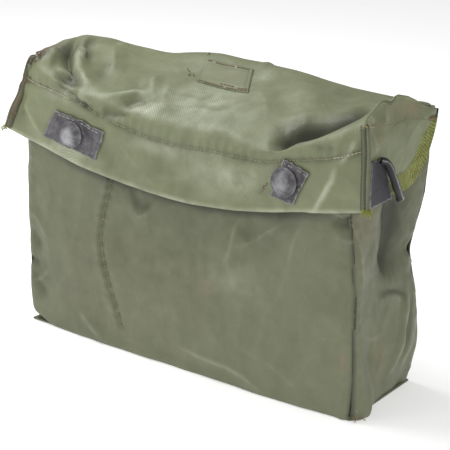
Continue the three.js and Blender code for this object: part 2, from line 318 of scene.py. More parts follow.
def worn_metal():
    """Black lacquered steel, worn to a dull grey in patches."""
    f = Finish("fastener_metal", 0.45)
    patches = f.blotches(150.0, 7.0, rough=0.7)
    pits = f.blotches(900.0, 3.0)
    paleness, _, _ = f.marks()
    bare = f.spread(f.sum("ADD", patches, f.sum("MULTIPLY", paleness, 0.4)), 0.45, 0.95)
    tint = f.mix(bare, linear(70, 68, 71), linear(160, 159, 162))
    tint = f.mix(f.spread(pits, 0.6, 0.7, 0.0, 0.6), tint, linear(58, 54, 52))
    f.put(f.shader.inputs["Base Color"], tint)
    f.put(f.shader.inputs["Metallic"], f.spread(bare, 0.0, 1.0, 0.0, 0.45))
    f.put(f.shader.inputs["Roughness"], f.spread(pits, 0.3, 0.7, 0.34, 0.55))
    f.bumps((patches, 0.5 * MM), (pits, 0.15 * MM))
    return f.material


webbing = yellow_webbing()
tan_thread = spun_thread("tan_thread", (122, 114, 80), (176, 168, 132))
brown_thread = spun_thread("brown_thread", (88, 70, 54), (146, 118, 92))
pale_thread = spun_thread("pale_thread", (160, 154, 132), (206, 202, 184))
green_thread = spun_thread("green_thread", (96, 104, 48), (168, 172, 70))
seam_thread = spun_thread("seam_thread", (40, 40, 32), (70, 70, 56))
leather = worn_leather("black_leather", (48, 46, 50), (110, 107, 112), 0.7)
keeper_leather = worn_leather("keeper_leather", (34, 33, 40), (66, 64, 72), 0.3)
# The curl's leather is a darker copy of the keeper leather: painted shade on the curled end.
shaded_curl_leather = worn_leather("shaded_curl_leather", (14, 14, 15), (34, 33, 36), 0.1)
metal = worn_metal()
print("finishes:", [m.name for m in bpy.data.materials])

# %% [markdown]
# ## Cloth that can be folded
# A simulation makes believable cloth, but it doesn't put a fold where the real sack has one. This
# sack is old and stiff, and its folds are its portrait, so we press them in ourselves. A sheet is a
# fine grid. A few given points say where it hangs, a smooth curve through them fills the grid,
# and then each fold is a path on the sheet that pushes nearby points in or out along the cloth's
# own normal. Solidify turns the result into cloth with a thickness.


# %% Smooth curves and noise
def through(knots, points, where):
    """A smooth curve that passes through points, which sit at knots, read off at where."""
    knots, points, where = (np.asarray(a, float) for a in (knots, points, where))
    slopes = np.gradient(points, knots, axis=0)
    i = np.clip(np.searchsorted(knots, where, side="right") - 1, 0, len(knots) - 2)
    shape = where.shape + (1,) * (points.ndim - 1)
    step = (knots[i + 1] - knots[i]).reshape(shape)
    t = ((where - knots[i]).reshape(shape)) / step
    return (
        points[i] * (2 * t**3 - 3 * t**2 + 1)
        + points[i + 1] * (3 * t**2 - 2 * t**3)
        + slopes[i] * step * (t**3 - 2 * t**2 + t)
        + slopes[i + 1] * step * (t**3 - t**2)
    )


def ramp(value, low, high):
    """0 below low, 1 above high and smooth between; low may be the larger one."""
    t = np.clip((np.asarray(value, float) - low) / (high - low), 0, 1)
    return t * t * (3 - 2 * t)


def even_curve(points, count):
    """A smooth curve through evenly spaced knots, read off at count places, and where they are."""
    steps = np.linspace(0, len(points) - 1, count)
    return through(np.arange(len(points)), points, steps), steps


def near(distance, width):
    """1 where distance is nothing, fading to 0 like a bell of that width."""
    return np.exp(-((distance / width) ** 2))


def noise_at(points, size, seed, stretch=(1, 1, 1)):
    """Smooth noise from about -1 to 1 at each point; size is the width of one lump."""
    listed = np.asarray(points).reshape(-1, 3) / (size * np.asarray(stretch)) + seed * 17.3
    return np.array([noise.noise(Vector(p)) for p in listed]).reshape(np.shape(points)[:-1])


def between(corners, u, v):
    """The places inside four corners, at shares u across and v down."""
    a, b, c, d = (np.array(p, float) for p in corners)
    u, v = u[..., None], v[..., None]
    return (a * (1 - u) + b * u) * (1 - v) + (d * (1 - u) + c * u) * v


# %% The sheet
stitch_gap = 3.5
cloth_thickness = 1.5
sack_middle = (0, 0, 120)
views = {"top": [0, 1], "front": [0, 2], "side": [1, 2]}
WEAR_AND_HIGHLIGHT, GRIME_AND_SHADE, CLAY = 0, 1, 2
rub_width = 1.7  # how wide a ridge is rubbed pale
ridge_round = 0.8  # how far the crest of a crisp fold is rounded


class Sheet:
    """A grid of points, rows down the cloth and columns across it, in millimetres."""

    def __init__(self, points, middle=sack_middle):
        self.points = np.array(points, float)
        self.marks = np.zeros(self.points.shape)
        self.turned = 1
        if ((self.points - middle) * self.normals()).sum() < 0:
            self.turned = -1

    def normals(self):
        normal = np.cross(np.gradient(self.points, axis=1), np.gradient(self.points, axis=0))
        length = np.linalg.norm(normal, axis=2, keepdims=True)
        return self.turned * normal / np.maximum(length, 1e-9)

    def push(self, amount):
        self.points += self.normals() * amount[..., None]

    def distance(self, path, view):
        """How far each point is from a path in one view, and how far along the path it is."""
        line, _ = even_curve(path, 24 * len(path))
        seen = self.points[:, :, views[view]]
        away = np.linalg.norm(seen[:, :, None, :] - line[None, None], axis=3)
        nearest = away.argmin(axis=2)
        return away.min(axis=2), nearest / (len(line) - 1)

    def fold(self, path, depth, width, view="front", only=1.0, ends=0.3, crisp=True, mark=0.0):
        """Raises a ridge along the path, or presses a valley where depth is below zero.

        A crisp fold has two flat flanks that meet in a line, as stiff coated cloth does."""
        away, along = self.distance(path, view)
        fade = ramp(along, -0.02, ends) * ramp(along, 1.02, 1 - ends)
        if crisp:
            shape = np.clip(1.15 - np.hypot(away, ridge_round) / (1.75 * width), 0, 1) ** 1.3
        else:
            shape = near(away, width)
        self.push(depth * shape * fade * only)
        if depth > 0:
            self.marks[:, :, WEAR_AND_HIGHLIGHT] += mark * fade * near(away, min(width, rub_width)) * only
        else:
            # A valley is darkened in the grime channel: painted shade in the crease, with grime.
            self.marks[:, :, GRIME_AND_SHADE] += mark * fade * shape * only

    def folds(self, creases, view="front", only=1.0, ends=0.35):
        """Many crisp folds, each given as its path, depth, width and mark."""
        for path, depth, width, mark in creases:
            self.fold(path, depth, width, view, only, ends, mark=mark)

    def stain(self, place, size, channel, strength, view="front", only=1.0):
        """Paints a soft patch on one channel."""
        seen = self.points[:, :, views[view]]
        away = (((seen - place) / size) ** 2).sum(axis=2)
        self.marks[:, :, channel] += strength * np.exp(-away) * only

    def crumple(self, size, depth, seed, stretch=(1, 1, 1), only=1.0, ridged=False, mark=0.0):
        lumps = noise_at(self.points, size, seed, stretch)
        if ridged:
            lumps = 0.55 - 2.2 * np.abs(lumps)
        self.push(depth * lumps * only)
        self.marks[:, :, WEAR_AND_HIGHLIGHT] += mark * np.clip(lumps - 0.38, 0, 1) * only

    def roll_hem(self, radius, depth):
        """Turns the last row back behind the cloth in a round hem."""
        edge, out = self.points[-1], self.normals()[-1]
        down = self.points[-1] - self.points[-3]
        down /= np.linalg.norm(down, axis=1, keepdims=True)
        rows = [edge + radius * (down * math.sin(a) - out * (1 - math.cos(a)))
                for a in np.linspace(0, math.pi, 6)[1:]]
        rows += [edge - 2 * radius * out - down * d for d in np.linspace(0, depth, 4)[1:]]
        self.points = np.concatenate([self.points, rows])
        self.marks = np.concatenate([self.marks, np.repeat(self.marks[-1:], len(rows), axis=0)])

    def flip_side(self):
        """The same sheet on the other side of the sack."""
        self.points[:, :, 0] *= -1
        self.turned *= -1
        return self

    def nearest(self, place, view, rows=slice(None)):
        """The point on the sheet under a place seen in one view, and the cloth's normal there."""
        part, out = self.points[rows], self.normals()[rows]
        away = ((part[:, :, views[view]] - place) ** 2).sum(axis=2)
        row, column = np.unravel_index(away.argmin(), away.shape)
        point, normal = part[row, column].copy(), out[row, column]
        step = np.zeros(3)
        step[views[view]] = np.asarray(place) - point[views[view]]
        return point + step - normal * step.dot(normal), normal

    def run(self, start, end, count):
        """Evenly spaced points on the sheet from one (u, v) share to another, each with its normal."""
        rows, columns = self.points.shape[:2]
        u, v = np.linspace(start, end, count).T
        row, column = np.rint(v * (rows - 1)).astype(int), np.rint(u * (columns - 1)).astype(int)
        return list(zip(self.points[row, column], self.normals()[row, column]))

    def along(self, path, view, pitch=stitch_gap, rows=slice(None)):
        """Evenly spaced places on the sheet below a path, each with its normal."""
        path = np.asarray(path, float)
        lengths = np.concatenate([[0], np.cumsum(np.linalg.norm(np.diff(path, axis=0), axis=1))])
        where = np.arange(0, lengths[-1], pitch)
        line = np.stack([np.interp(where, lengths, path[:, k]) for k in (0, 1)], axis=1)
        return [self.nearest(p, view, rows) for p in line]

    def make(self, name, finish, body, slot, replaces=(), thickness=cloth_thickness, flat=None, held="hung",
             rests_on=(), area=None):
        """Turns the sheet into a piece of the sack; flat, the size that the cloth was cut to, is not used.
        """
        rows, columns = self.points.shape[:2]
        bm = bmesh.new()
        bmesh.ops.create_grid(bm, x_segments=columns - 1, y_segments=rows - 1, size=0.5)
        mesh = mesh_from(bm, name, finish)
        even = np.empty(len(mesh.vertices) * 3)
        mesh.vertices.foreach_get("co", even)
        even = even.reshape(-1, 3)
        column = np.rint((even[:, 0] + 0.5) * (columns - 1)).astype(int)
        row = np.rint((even[:, 1] + 0.5) * (rows - 1)).astype(int)
        mesh.vertices.foreach_set("co", (self.points[row, column] * MM).ravel())
        across = np.linalg.norm(np.diff(self.points, axis=1, prepend=self.points[:, :1]), axis=2)
        down = np.linalg.norm(np.diff(self.points, axis=0, prepend=self.points[:1]), axis=2)
        across, down = across.cumsum(axis=1), down.cumsum(axis=0)
        across -= across[:, [columns // 2]]
        down = 0.5 * down + 0.5 * down.mean(axis=1, keepdims=True)
        uv = np.stack([across, down], axis=2)[row, column] * MM
        corners = np.empty(len(mesh.loops), dtype=np.int64)
        mesh.loops.foreach_get("vertex_index", corners)
        layer = mesh.uv_layers.new(name="cloth")
        layer.data.foreach_set("uv", uv[corners].ravel())
        paint = mesh.color_attributes.new("marks", "FLOAT_COLOR", "POINT")
        colours = np.ones((len(mesh.vertices), 4))
        colours[:, :3] = np.clip(self.marks[row, column], 0, 1)
        paint.data.foreach_set("color", colours.ravel())
        if self.turned < 0:
            mesh.flip_normals()
        mesh.shade_smooth()
        piece = stand(name, mesh)
        wall = piece.modifiers.new("thickness", "SOLIDIFY")
        wall.thickness, wall.offset = thickness * MM, -1
        if body:
            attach(piece, body)
        if replaces:
            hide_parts(*replaces)
        print(f"{name}: {rows} by {columns} points")
        return piece


# %% [markdown]
# ## Thread
# Hand-sized stitching is what makes a sewn thing look sewn. One stitch is a small bead drawn out
# along the seam. A row of them is one piece, and loose tufts are chains of the same beads. Each
# bead has only a few faces, because there are hundreds of them.


# %% Stitches and tufts
thread_radius = 0.42
bead_turns, bead_rings = 6, 4
bead_half = 0.58  # half of a bead's length as a share of its stitch, so that beads overlap
stitch_inset = 0.14  # how far each end of a stitch sinks in, as a share of its length
tuft_beads, tuft_curl = 5, 0.45


def bead(bm, start, end, radius):
    """One drawn-out bead of thread from start to end."""
    start, end = Vector(start), Vector(end)
    direction = end - start
    turn = direction.to_track_quat("Z", "Y").to_matrix().to_4x4()
    size = Matrix.Diagonal((radius, radius, direction.length * bead_half, 1))
    place = Matrix.Translation((start + end) / 2) @ turn @ size
    bmesh.ops.create_uvsphere(bm, u_segments=bead_turns, v_segments=bead_rings, radius=1, matrix=place)


def thread_piece(name, bm, finish, body):
    """Makes the beads in a bmesh into one piece of thread."""
    bmesh.ops.scale(bm, vec=(MM, MM, MM), verts=bm.verts)
    mesh = mesh_from(bm, name, finish)
    mesh.shade_smooth()
    piece = stand(name, mesh)
    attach(piece, body)
    print(name, "has", len(mesh.polygons), "faces")


def sew(name, lines, finish, body, radius=thread_radius, lift=0.35, missing=0.0, seed=1):
    """A row of stitches along each line of (place, normal) pairs; missing is the share that wore away."""
    bm = bmesh.new()
    chance = np.random.default_rng(seed)
    for line in lines:
        for (a, out_a), (b, out_b) in zip(line, line[1:]):
            if chance.random() < missing:
                continue
            step = (b - a) * stitch_inset
            bead(bm, a + step + out_a * lift, b - step + out_b * lift, radius)
    thread_piece(name, bm, finish, body)


def tuft(bm, root, out, length, seed, radius=0.35, droop=0.5):
    """One loose end of thread that leaves root along out and curls at random."""
    chance = np.random.default_rng(seed)
    place, heading = np.array(root, float), np.array(out, float)
    for _ in range(tuft_beads):
        heading = heading + chance.normal(0, tuft_curl, 3) + np.array([0, 0, -droop * 0.3])
        heading /= np.linalg.norm(heading)
        ahead = place + heading * length / tuft_beads
        bead(bm, place, ahead, radius)
        place = ahead

# %% [markdown]
# ## The lid
# The lid's top and its front flap are one cloth, which turns over a soft crest at the mouth's front
# edge. It could be two boxes, but then it would never sag. We loft it instead: at eleven stations
# along the front we say how high and how far forward the cloth is at a few rows, from the hinge to
# the hem, and let the smooth curve do the rest. The left end stands flat and flares at the hem. The
# right end climbs to a peak, and a deep valley runs back from the crest between the peak and the
# low dome in the middle.

# %% Rows and stations of the lid
stations = [-177, -150, -120, -85, -40, 0, 45, 90, 122, 150, 177]
lid_rows = {
    0: [(53, 245.8)] * 6 + [(53, 245.8), (53, 245.2), (53, 244), (53, 243), (53, 242)],
    14: [(41, 254), (41, 255), (41, 252.5), (41, 251), (41, 257), (41, 257), (41, 255), (41, 249), (41, 245),
         (41, 242), (41, 243)],
    34: [(20, 256), (20, 257), (20, 252), (20, 248), (20, 250), (20, 250), (20, 250), (20, 248), (16, 245),
         (14, 246), (12, 256)],
    58: [(-2, 253), (-2, 252), (-3, 247), (-3, 244), (-3, 242), (-3, 241), (-3, 242), (-6, 241), (-9, 240),
         (-14, 247), (-16, 262.5)],
    88: [(-26, 253), (-33, 250), (-35, 244), (-35, 237), (-34, 233), (-34, 231), (-34, 232), (-36, 231),
         (-38, 229), (-38, 240), (-39, 254)],
    112: [(-42, 252), (-55, 243), (-57, 236), (-57, 229), (-57, 224), (-57, 221), (-57, 221), (-58, 216),
          (-59, 226), (-58, 235), (-55, 248)],
    134: [(-50, 228), (-59, 229), (-61, 224), (-64, 216), (-66, 207), (-66, 203), (-66, 205), (-64, 204),
          (-62, 211), (-61, 217), (-59, 228)],
    160: [(-58, 205), (-60, 202), (-59.5, 197), (-62, 190), (-65, 184), (-66, 181), (-66, 181), (-62.5, 185),
          (-59.7, 190), (-59.7, 195), (-60, 203)],
    182: [(-63, 186), (-60, 175), (-60, 168), (-62, 163), (-65, 160), (-66, 158), (-66, 159), (-63, 164),
          (-60, 170), (-60, 175), (-59.5, 182)],
}
left_end = [-174.8, -175.6, -177.5, -177, -174, -170, -174.5, -179.5, -184]
right_end = [177, 177.5, 174, 170, 172, 176, 179.5, 181, 182]
hem_distance = 182
hinge_rows, lid_columns = 104, 196

lid_table = np.array([[(x, y, z) for x, (y, z) in zip(stations, row)] for row in lid_rows.values()], float)
lid_table[:, 0, 0], lid_table[:, -1, 0] = left_end, right_end
lid_across = through(stations, lid_table.swapaxes(0, 1), np.linspace(-177, 177, lid_columns))
lid_distance = np.linspace(0, hem_distance, hinge_rows)
lid = Sheet(through(list(lid_rows), lid_across.swapaxes(0, 1), lid_distance))
on_top = ramp(lid_distance, 122, 112)[:, None]
on_front = 1 - on_top
clear_of_hinge = ramp(lid_distance, 3, 20)[:, None]
print("lid grid", lid.points.shape)

# %% [markdown]
# Big forms come before small ones. The broad valley at the right and the pinched left corner go in
# first, then the sharper creases that rubber coating keeps for life, and last a faint crumple.

# %% Folds in the lid's top
valley = [(90, -60), (104, -51), (118, -42), (133, -33), (147, -24), (158, -12), (166, 2)]
# The valley's grime mark is painted shade along its floor.
lid.fold(valley, -13, 13, "top", on_top, ends=0.16, mark=1.0)
lid.fold([(82, -56), (94, -46), (104, -33), (118, -24), (137, -17), (152, -4)], 5.5, 8, "top", on_top,
         ends=0.3)
lid.fold([(97, -63), (117, -55), (134, -46), (150, -37), (162, -27), (170, -14)], 4.0, 5, "top", on_top,
         ends=0.12, mark=0.4)
lid.fold([(62, 22), (82, 10), (100, -8), (100, -34)], 3.5, 15, "top", on_top, ends=0.4, crisp=False)
lid.fold([(118, 18), (138, 28), (160, 32)], 3, 9, "top", on_top, ends=0.4, crisp=False)
top_creases = [
    ([(-178, 26), (-160, -5), (-139, -31), (-121, -46), (-113, -54)], -6.5, 5.0, 0.7),
    ([(-176, 40), (-150, 0), (-128, -30), (-116, -44)], 3.4, 5.0, 0.35),
    ([(-126, -43), (-119, -46), (-112, -43)], -3.0, 2.4, 0.8),
    ([(-163, -20), (-151, -40), (-143, -57)], 3.6, 5.0, 0.35),
    ([(-176, -26), (-164, -38), (-154, -52)], -3.6, 6.0, 0.6),
    ([(-178, 16), (-170, -6), (-152, -38)], 2.2, 5, 0.35),
    ([(-160, 36), (-152, 10), (-133, -16), (-124, -26)], -3.6, 4.5, 0.45),
    ([(-149, 4), (-135, -22), (-109, -49)], 4.2, 5.5, 0.4),
    ([(-135, 23), (-109, -7), (-96, -28)], 3.2, 7, 0.3),
    ([(-120, -2), (-104, -24), (-92, -50)], -2.6, 7, 0.3),
    ([(-132, 24), (-122, 34)], 2.2, 4, 0.2),
    ([(-135, -60), (-120, -54), (-101, -58)], -6.0, 6, 0.6),
    ([(-138, -50), (-122, -44), (-100, -47)], 2.4, 4, 0.45),
    ([(-170, -20), (-155, -40), (-150, -56)], 4.0, 5.5, 0.45),
    ([(-92, -60), (-76, -56), (-61, -46), (-52, -40), (-33, -50)], 3.6, 5.5, 0.35),
    ([(-52, -64), (-52, -54), (-45, -48), (-34, -50)], -4.6, 5, 0.45),
    ([(-64, -4), (-50, -26), (-38, -42)], 3.0, 5, 0.4),
    ([(-78, -10), (-64, -28), (-56, -40)], -2.2, 6, 0.2),
    ([(-42, -12), (-30, -36), (-16, -56)], 2.4, 5.5, 0.3),
    ([(-95, 8), (-70, 0), (-40, 10), (-10, 2)], -1.6, 9, 0.0),
    ([(20, 35), (28, 52)], 1.6, 2.5, 0.7),
    ([(-14, -30), (20, -42), (60, -34)], 1.4, 8, 0.15),
    ([(30, 4), (56, -14), (78, -44)], 2.2, 9, 0.15),
    ([(70, 30), (96, 20), (124, 30), (150, 36)], -1.6, 8, 0.1),
]
lid.folds(top_creases, "top", on_top)
print(len(top_creases), "creases in the top")

# %% Folds in the flap
flap_creases = [
    ([(100, 213), (91, 217), (84, 212)], 4.0, 4.5, 0.45),
    ([(104, 222), (97, 222), (92, 218)], -3.0, 3.5, 0.7),
    ([(156, 213), (152, 201), (143, 183), (132, 165)], 1.4, 2.4, 1.0),
    ([(170, 236), (166, 224), (157, 214)], 2.4, 3.0, 0.9),
    ([(132, 226), (146, 224), (152, 230)], -1.8, 3.5, 0.4),
    ([(122, 222), (136, 232), (150, 240)], 1.4, 4, 0.3),
    ([(-133, 226), (-122, 232), (-113, 230), (-105, 225), (-92, 220), (-80, 225)], -4.5, 4.2, 0.6),
    ([(-136, 233), (-122, 238), (-110, 236), (-98, 228), (-86, 230)], 3.0, 4.0, 0.4),
    ([(-76, 222), (-66, 217), (-54, 219), (-48, 224)], -3.6, 4.0, 0.5),
    ([(-78, 214), (-64, 212), (-50, 214)], 1.8, 4.0, 0.2),
    ([(-168, 214), (-160, 200), (-140, 176)], 2.2, 7, 0.3),
    ([(-176, 224), (-172, 206), (-170, 192)], -1.6, 5, 0.2),
    ([(-60, 196), (-30, 176), (-10, 160)], 1.4, 9, 0.1),
    ([(20, 198), (40, 178), (70, 164)], 1.6, 10, 0.1),
    ([(-78, 190), (-60, 170)], -1.5, 8, 0.1),
    ([(84, 186), (96, 168)], -1.2, 6, 0.1),
]
lid.folds(flap_creases, "front", on_front, ends=0.3)
topstitch = [(x, z) for x, (y, z) in zip(stations, lid_rows[134])]
lid.fold(topstitch, -1.2, 2.2, "front", on_front, ends=0.02, mark=0.5)
pucker_depth, pucker_pitch = 0.5, 8.5
pucker = pucker_depth * np.sin(lid.points[:, :, 0] * math.tau / pucker_pitch)
lid.push(pucker * near(lid_distance[:, None] - 130, 7))
print(len(flap_creases), "creases in the flap")

# %% Crumple, flat seats for the fasteners, hem
lid.crumple(60, 1.8, 3, only=clear_of_hinge)
lid.crumple(30, 0.7, 5, stretch=(1.4, 0.8, 1), only=clear_of_hinge, ridged=True, mark=0.35)
lid.crumple(11, 0.15, 8, only=clear_of_hinge)
fastener_x, fastener_z = 110, 191.3
flap_face = -59.7
for side in (-1, 1):
    away = np.hypot(lid.points[:, :, 0] - side * fastener_x, lid.points[:, :, 2] - fastener_z)
    lid.points[:, :, 1] += (flap_face - lid.points[:, :, 1]) * ramp(away, 30, 17) * on_front
lid.marks[:, :, WEAR_AND_HIGHLIGHT] += 0.55 * ramp(lid_distance, 179, 182)[:, None]
lid.marks[:, :, WEAR_AND_HIGHLIGHT] += 0.25 * near(lid_distance - 113, 4)[:, None]
for place, size, channel, strength in [
    ((-174, -30), (11, 24), CLAY, 0.6), ((-172, -52), (16, 10), CLAY, 0.35),
    # The grime patches at (118, -38) and (146, -22) are painted shade in the valley.
    ((-166, -32), (15, 22), GRIME_AND_SHADE, 0.75), ((118, -38), (22, 12), GRIME_AND_SHADE, 0.5),
    ((146, -22), (16, 12), GRIME_AND_SHADE, 0.4),
    # These pale patches on the top are rub marks that also paint the cloth's sheen.
    ((6, -28), (38, 24), WEAR_AND_HIGHLIGHT, 0.75), ((-34, -54), (14, 8), WEAR_AND_HIGHLIGHT, 0.8), ((34, 20), (9, 9), WEAR_AND_HIGHLIGHT, 0.5),
]:
    lid.stain(place, size, channel, strength, "top", on_top)
for place, size, strength in [((-8, 198), (26, 6), 0.5), ((60, 186), (44, 14), 0.55),
                              ((-122, 174), (30, 8), 0.7), ((-120, 224), (22, 5), 0.5)]:
    lid.stain(place, size, WEAR_AND_HIGHLIGHT, strength, "front", on_front)
hem_radius, hem_turned_up = 1.7, 8
lid.roll_hem(hem_radius, hem_turned_up)
lid.make("lid_cover", lid_canvas, "lid", "lid_canvas", ("lid_top", "front_flap"), flat=(354, 202),
         held="draped", rests_on=["front_panel", "back_panel"])

# %% [markdown]
# ## The body
# Five panels make the body. A box with flat sides would look like a carton, so the corner seams are
# drawn first as curves that wander with height, and each panel hangs between two of them. Where two
# panels meet they turn inwards together, which leaves the dark groove of a seam sewn inside out.
# The right side is the one that sags most: its back seam folds in sharply half way up.

# %% The four corner seams
seam_heights = [0, 22, 44, 60, 90, 110, 121, 133, 160, 188, 215, 245]
front_right_seam = [(172.5, -50), (173.5, -50), (174, -50), (173.5, -50), (172.5, -50.5), (172, -50.5),
                    (171, -51), (169.5, -51), (166, -51), (164, -51), (168, -50), (174, -50)]
front_left_seam = [(-171, -50), (-174, -50), (-175, -50), (-174.5, -50), (-175.5, -50), (-175, -50),
                   (-175, -50), (-175, -50), (-174.5, -50), (-175, -50), (-175, -50), (-175, -50)]
back_right_seam = [(171, 49.5), (176, 50), (178.5, 50), (177, 50), (173, 48.5), (170, 45.5), (169, 43),
                   (170, 45.5), (174.5, 49.5), (176.5, 52), (175.5, 53), (175.5, 50)]
back_left_seam = [(-171, 49.5), (-175, 50), (-176, 50), (-176, 50), (-175, 50), (-173, 49), (-173, 48),
                  (-174, 49), (-174, 50), (-175, 50), (-175, 50), (-175, 50)]
seam_turn = 4.5  # how much of a panel's edge turns into the seam
seam_depth = 2.6
foot_turn = 6.0


def panel_between(first, second, bottom, top, columns, rows):
    """A flat-hung panel between two corner seams, as a grid from the bottom row to the top row."""
    share = np.linspace(0, 1, columns)
    lower, upper = bottom(share), top(share)
    height = lower + (upper - lower) * np.linspace(0, 1, rows)[:, None]
    one_edge, other_edge = (through(seam_heights, seam, height) for seam in (first, second))
    place = one_edge + (other_edge - one_edge) * share[None, :, None]
    return np.concatenate([place, height[..., None]], axis=2), share


def turn_edges(panel, inward, share, width, foot_depth=3.0):
    """Rolls the panel's side and bottom edges into the seams."""
    edge = np.minimum(share, 1 - share) * width
    sides = np.clip(1 - edge / seam_turn, 0, 1) ** 2
    panel.points += np.asarray(inward, float) * (seam_depth * sides)[None, :, None]
    tucked = np.clip(1 - (panel.points[:, :, 2] - panel.points[:1, :, 2]) / foot_turn, 0, 1) ** 2
    panel.points += np.asarray(inward, float) * (foot_depth * tucked)[..., None]
    panel.marks[:, :, GRIME_AND_SHADE] += 1.3 * np.clip(1 - edge / 2.6, 0, 1)[None, :]
    swell = near(edge - 7.5, 3.0)
    beat = 0.35 * np.sin(panel.points[:, :, 2] * math.tau / 10.5)
    panel.push((0.7 + beat) * swell[None, :])


# %% Front panel
bag_height = 244
foot = 0.6
mouth_x = [-175, -150, -120, -85, -40, 0, 45, 90, 106, 122, 150, 175]
mouth_z = [244, 236, 228, 221, 216, 213, 213, 208, 206, 216, 234, 244]


def front_foot(share):
    return foot + 8.5 * ramp(share, 0.09, 0.0)


def front_top(share):
    return through(mouth_x, mouth_z, mouth_x[0] + (mouth_x[-1] - mouth_x[0]) * share)


front_grid, front_share = panel_between(front_left_seam, front_right_seam, front_foot, front_top, 190, 130)
front = Sheet(front_grid)
belly_heights = [0, 18, 60, 105, 150, 182, 200, 245]
belly_shares = [0.75, 0.8, 0.95, 1.0, 0.6, 0.12, 0, 0]
belly_depth = 9.0
belly = through(belly_heights, belly_shares, front.points[:, :, 2])
crown = np.sin(math.pi * front_share) ** 0.6
front.points[:, :, 1] -= belly_depth * belly * crown[None, :]
below_flap = ramp(front.points[:, :, 2], 186, 170)
front_creases = [
    ([(-57, 158), (-47, 139), (-38, 131), (-28, 137), (-18, 149)], 2.6, 4.5, 0.2),
    ([(-60, 170), (-48, 152), (-39, 144), (-30, 150), (-20, 163)], -2.0, 6, 0.2),
    ([(69, 160), (60, 140), (57, 122), (50, 106)], 2.4, 5, 0.2),
    ([(57, 124), (75, 132), (94, 146), (111, 161)], 2.2, 6, 0.15),
    ([(80, 158), (72, 144), (66, 136)], -1.8, 7, 0.2),
    ([(120, 172), (100, 148), (76, 120)], -1.8, 9, 0.2),
    ([(132, 172), (116, 140), (112, 104)], 1.5, 9, 0.1),
    ([(147, 164), (158, 166), (170, 170)], -3.0, 4.5, 0.5),
    ([(146, 171), (158, 173), (171, 177)], 2.4, 3.5, 0.45),
    ([(150, 154), (162, 152), (172, 150)], 1.8, 5, 0.3),
    ([(-110, 27), (-96, 16), (-78, 2)], 2.0, 3.2, 0.3),
    ([(-8, 24), (30, 19), (70, 14), (98, -2)], 1.8, 4, 0.35),
    ([(-30, 12), (10, 8), (50, 3)], -1.4, 5, 0.15),
    ([(60, 40), (100, 30), (140, 8)], 1.2, 7, 0.1),
    ([(-172, 96), (-164, 82), (-156, 72)], -2.4, 5, 0.35),
    ([(-168, 52), (-160, 38), (-150, 24)], -2.0, 5, 0.3),
    ([(-175, 63), (-168, 60), (-158, 60)], -2.6, 4, 0.4),
    ([(-172, 110), (-158, 100), (-146, 84)], 2.0, 6, 0.2),
    ([(-170, 40), (-156, 46), (-146, 58)], 1.6, 5, 0.25),
    ([(-168, 140), (-150, 120), (-140, 90)], 1.6, 9, 0.05),
    ([(-110, 140), (-104, 100), (-112, 60)], -1.2, 12, 0.05),
    ([(-40, 120), (-30, 80), (-42, 40)], 1.2, 14, 0.0),
    ([(10, 140), (16, 96), (4, 50)], -1.3, 15, 0.0),
]
front.folds(front_creases, "front", below_flap)
divider_seam = [(-72, 168), (-73, 153), (-79, 127), (-82, 99), (-78, 76), (-67, 46), (-59, 21)]
front.fold(divider_seam, -1.6, 3.0, "front", below_flap, ends=0.05, mark=0.35)
front.fold([(x - 6, z) for x, z in divider_seam], 1.1, 4.0, "front", below_flap, ends=0.1, mark=0.12)
away, _ = front.distance(divider_seam, "front")
front.push(0.45 * np.sin(front.points[:, :, 2] * math.tau / 9) * near(away, 7) * below_flap)
front.crumple(90, 1.8, 11, only=below_flap)
front.crumple(38, 0.8, 12, stretch=(0.7, 1, 1.6), only=below_flap, ridged=True, mark=0.25)
front.crumple(12, 0.12, 13)
turn_edges(front, (0, 1, 0), front_share, 349, foot_depth=1.5)
front.stain((164, 50), (3.5, 7), CLAY, 0.9)
front.stain((-40, 60), (80, 50), CLAY, 0.12)
front.stain((34, 84), (10, 5), CLAY, 0.35)
front.stain((60, 96), (26, 14), WEAR_AND_HIGHLIGHT, 0.3)
# A dark band on the front panel just below the flap's hem, painted in the grime channel: a painted shadow of
# the flap.
hem_height = through(stations, [z for y, z in lid_rows[hem_distance]], front.points[:, :, 0])
under_hem = front.points[:, :, 2] - hem_height
from_ends = ramp(np.abs(front.points[:, :, 0]), 178, 100)
front.marks[:, :, GRIME_AND_SHADE] += 0.95 * ramp(under_hem, -13, -4) * ramp(under_hem, 14, 0) * from_ends
front.make("front_panel_cloth", body_canvas, "bag", "body_canvas", ("front_panel",),
           flat=(350, 240), rests_on=["bottom_panel"])


# %% [markdown]
# ## The side panels
# Each side panel hangs from its top edge and folds like a bellows. On the right a broad hollow runs
# down from the strap, long stiff creases fan out from the bottom edge, and a pinch crosses the cloth
# where the back seam folds in.

# %% Side panels
def flat_foot(share):
    return foot + 0 * share


def flat_top(share):
    return bag_height + 0 * share


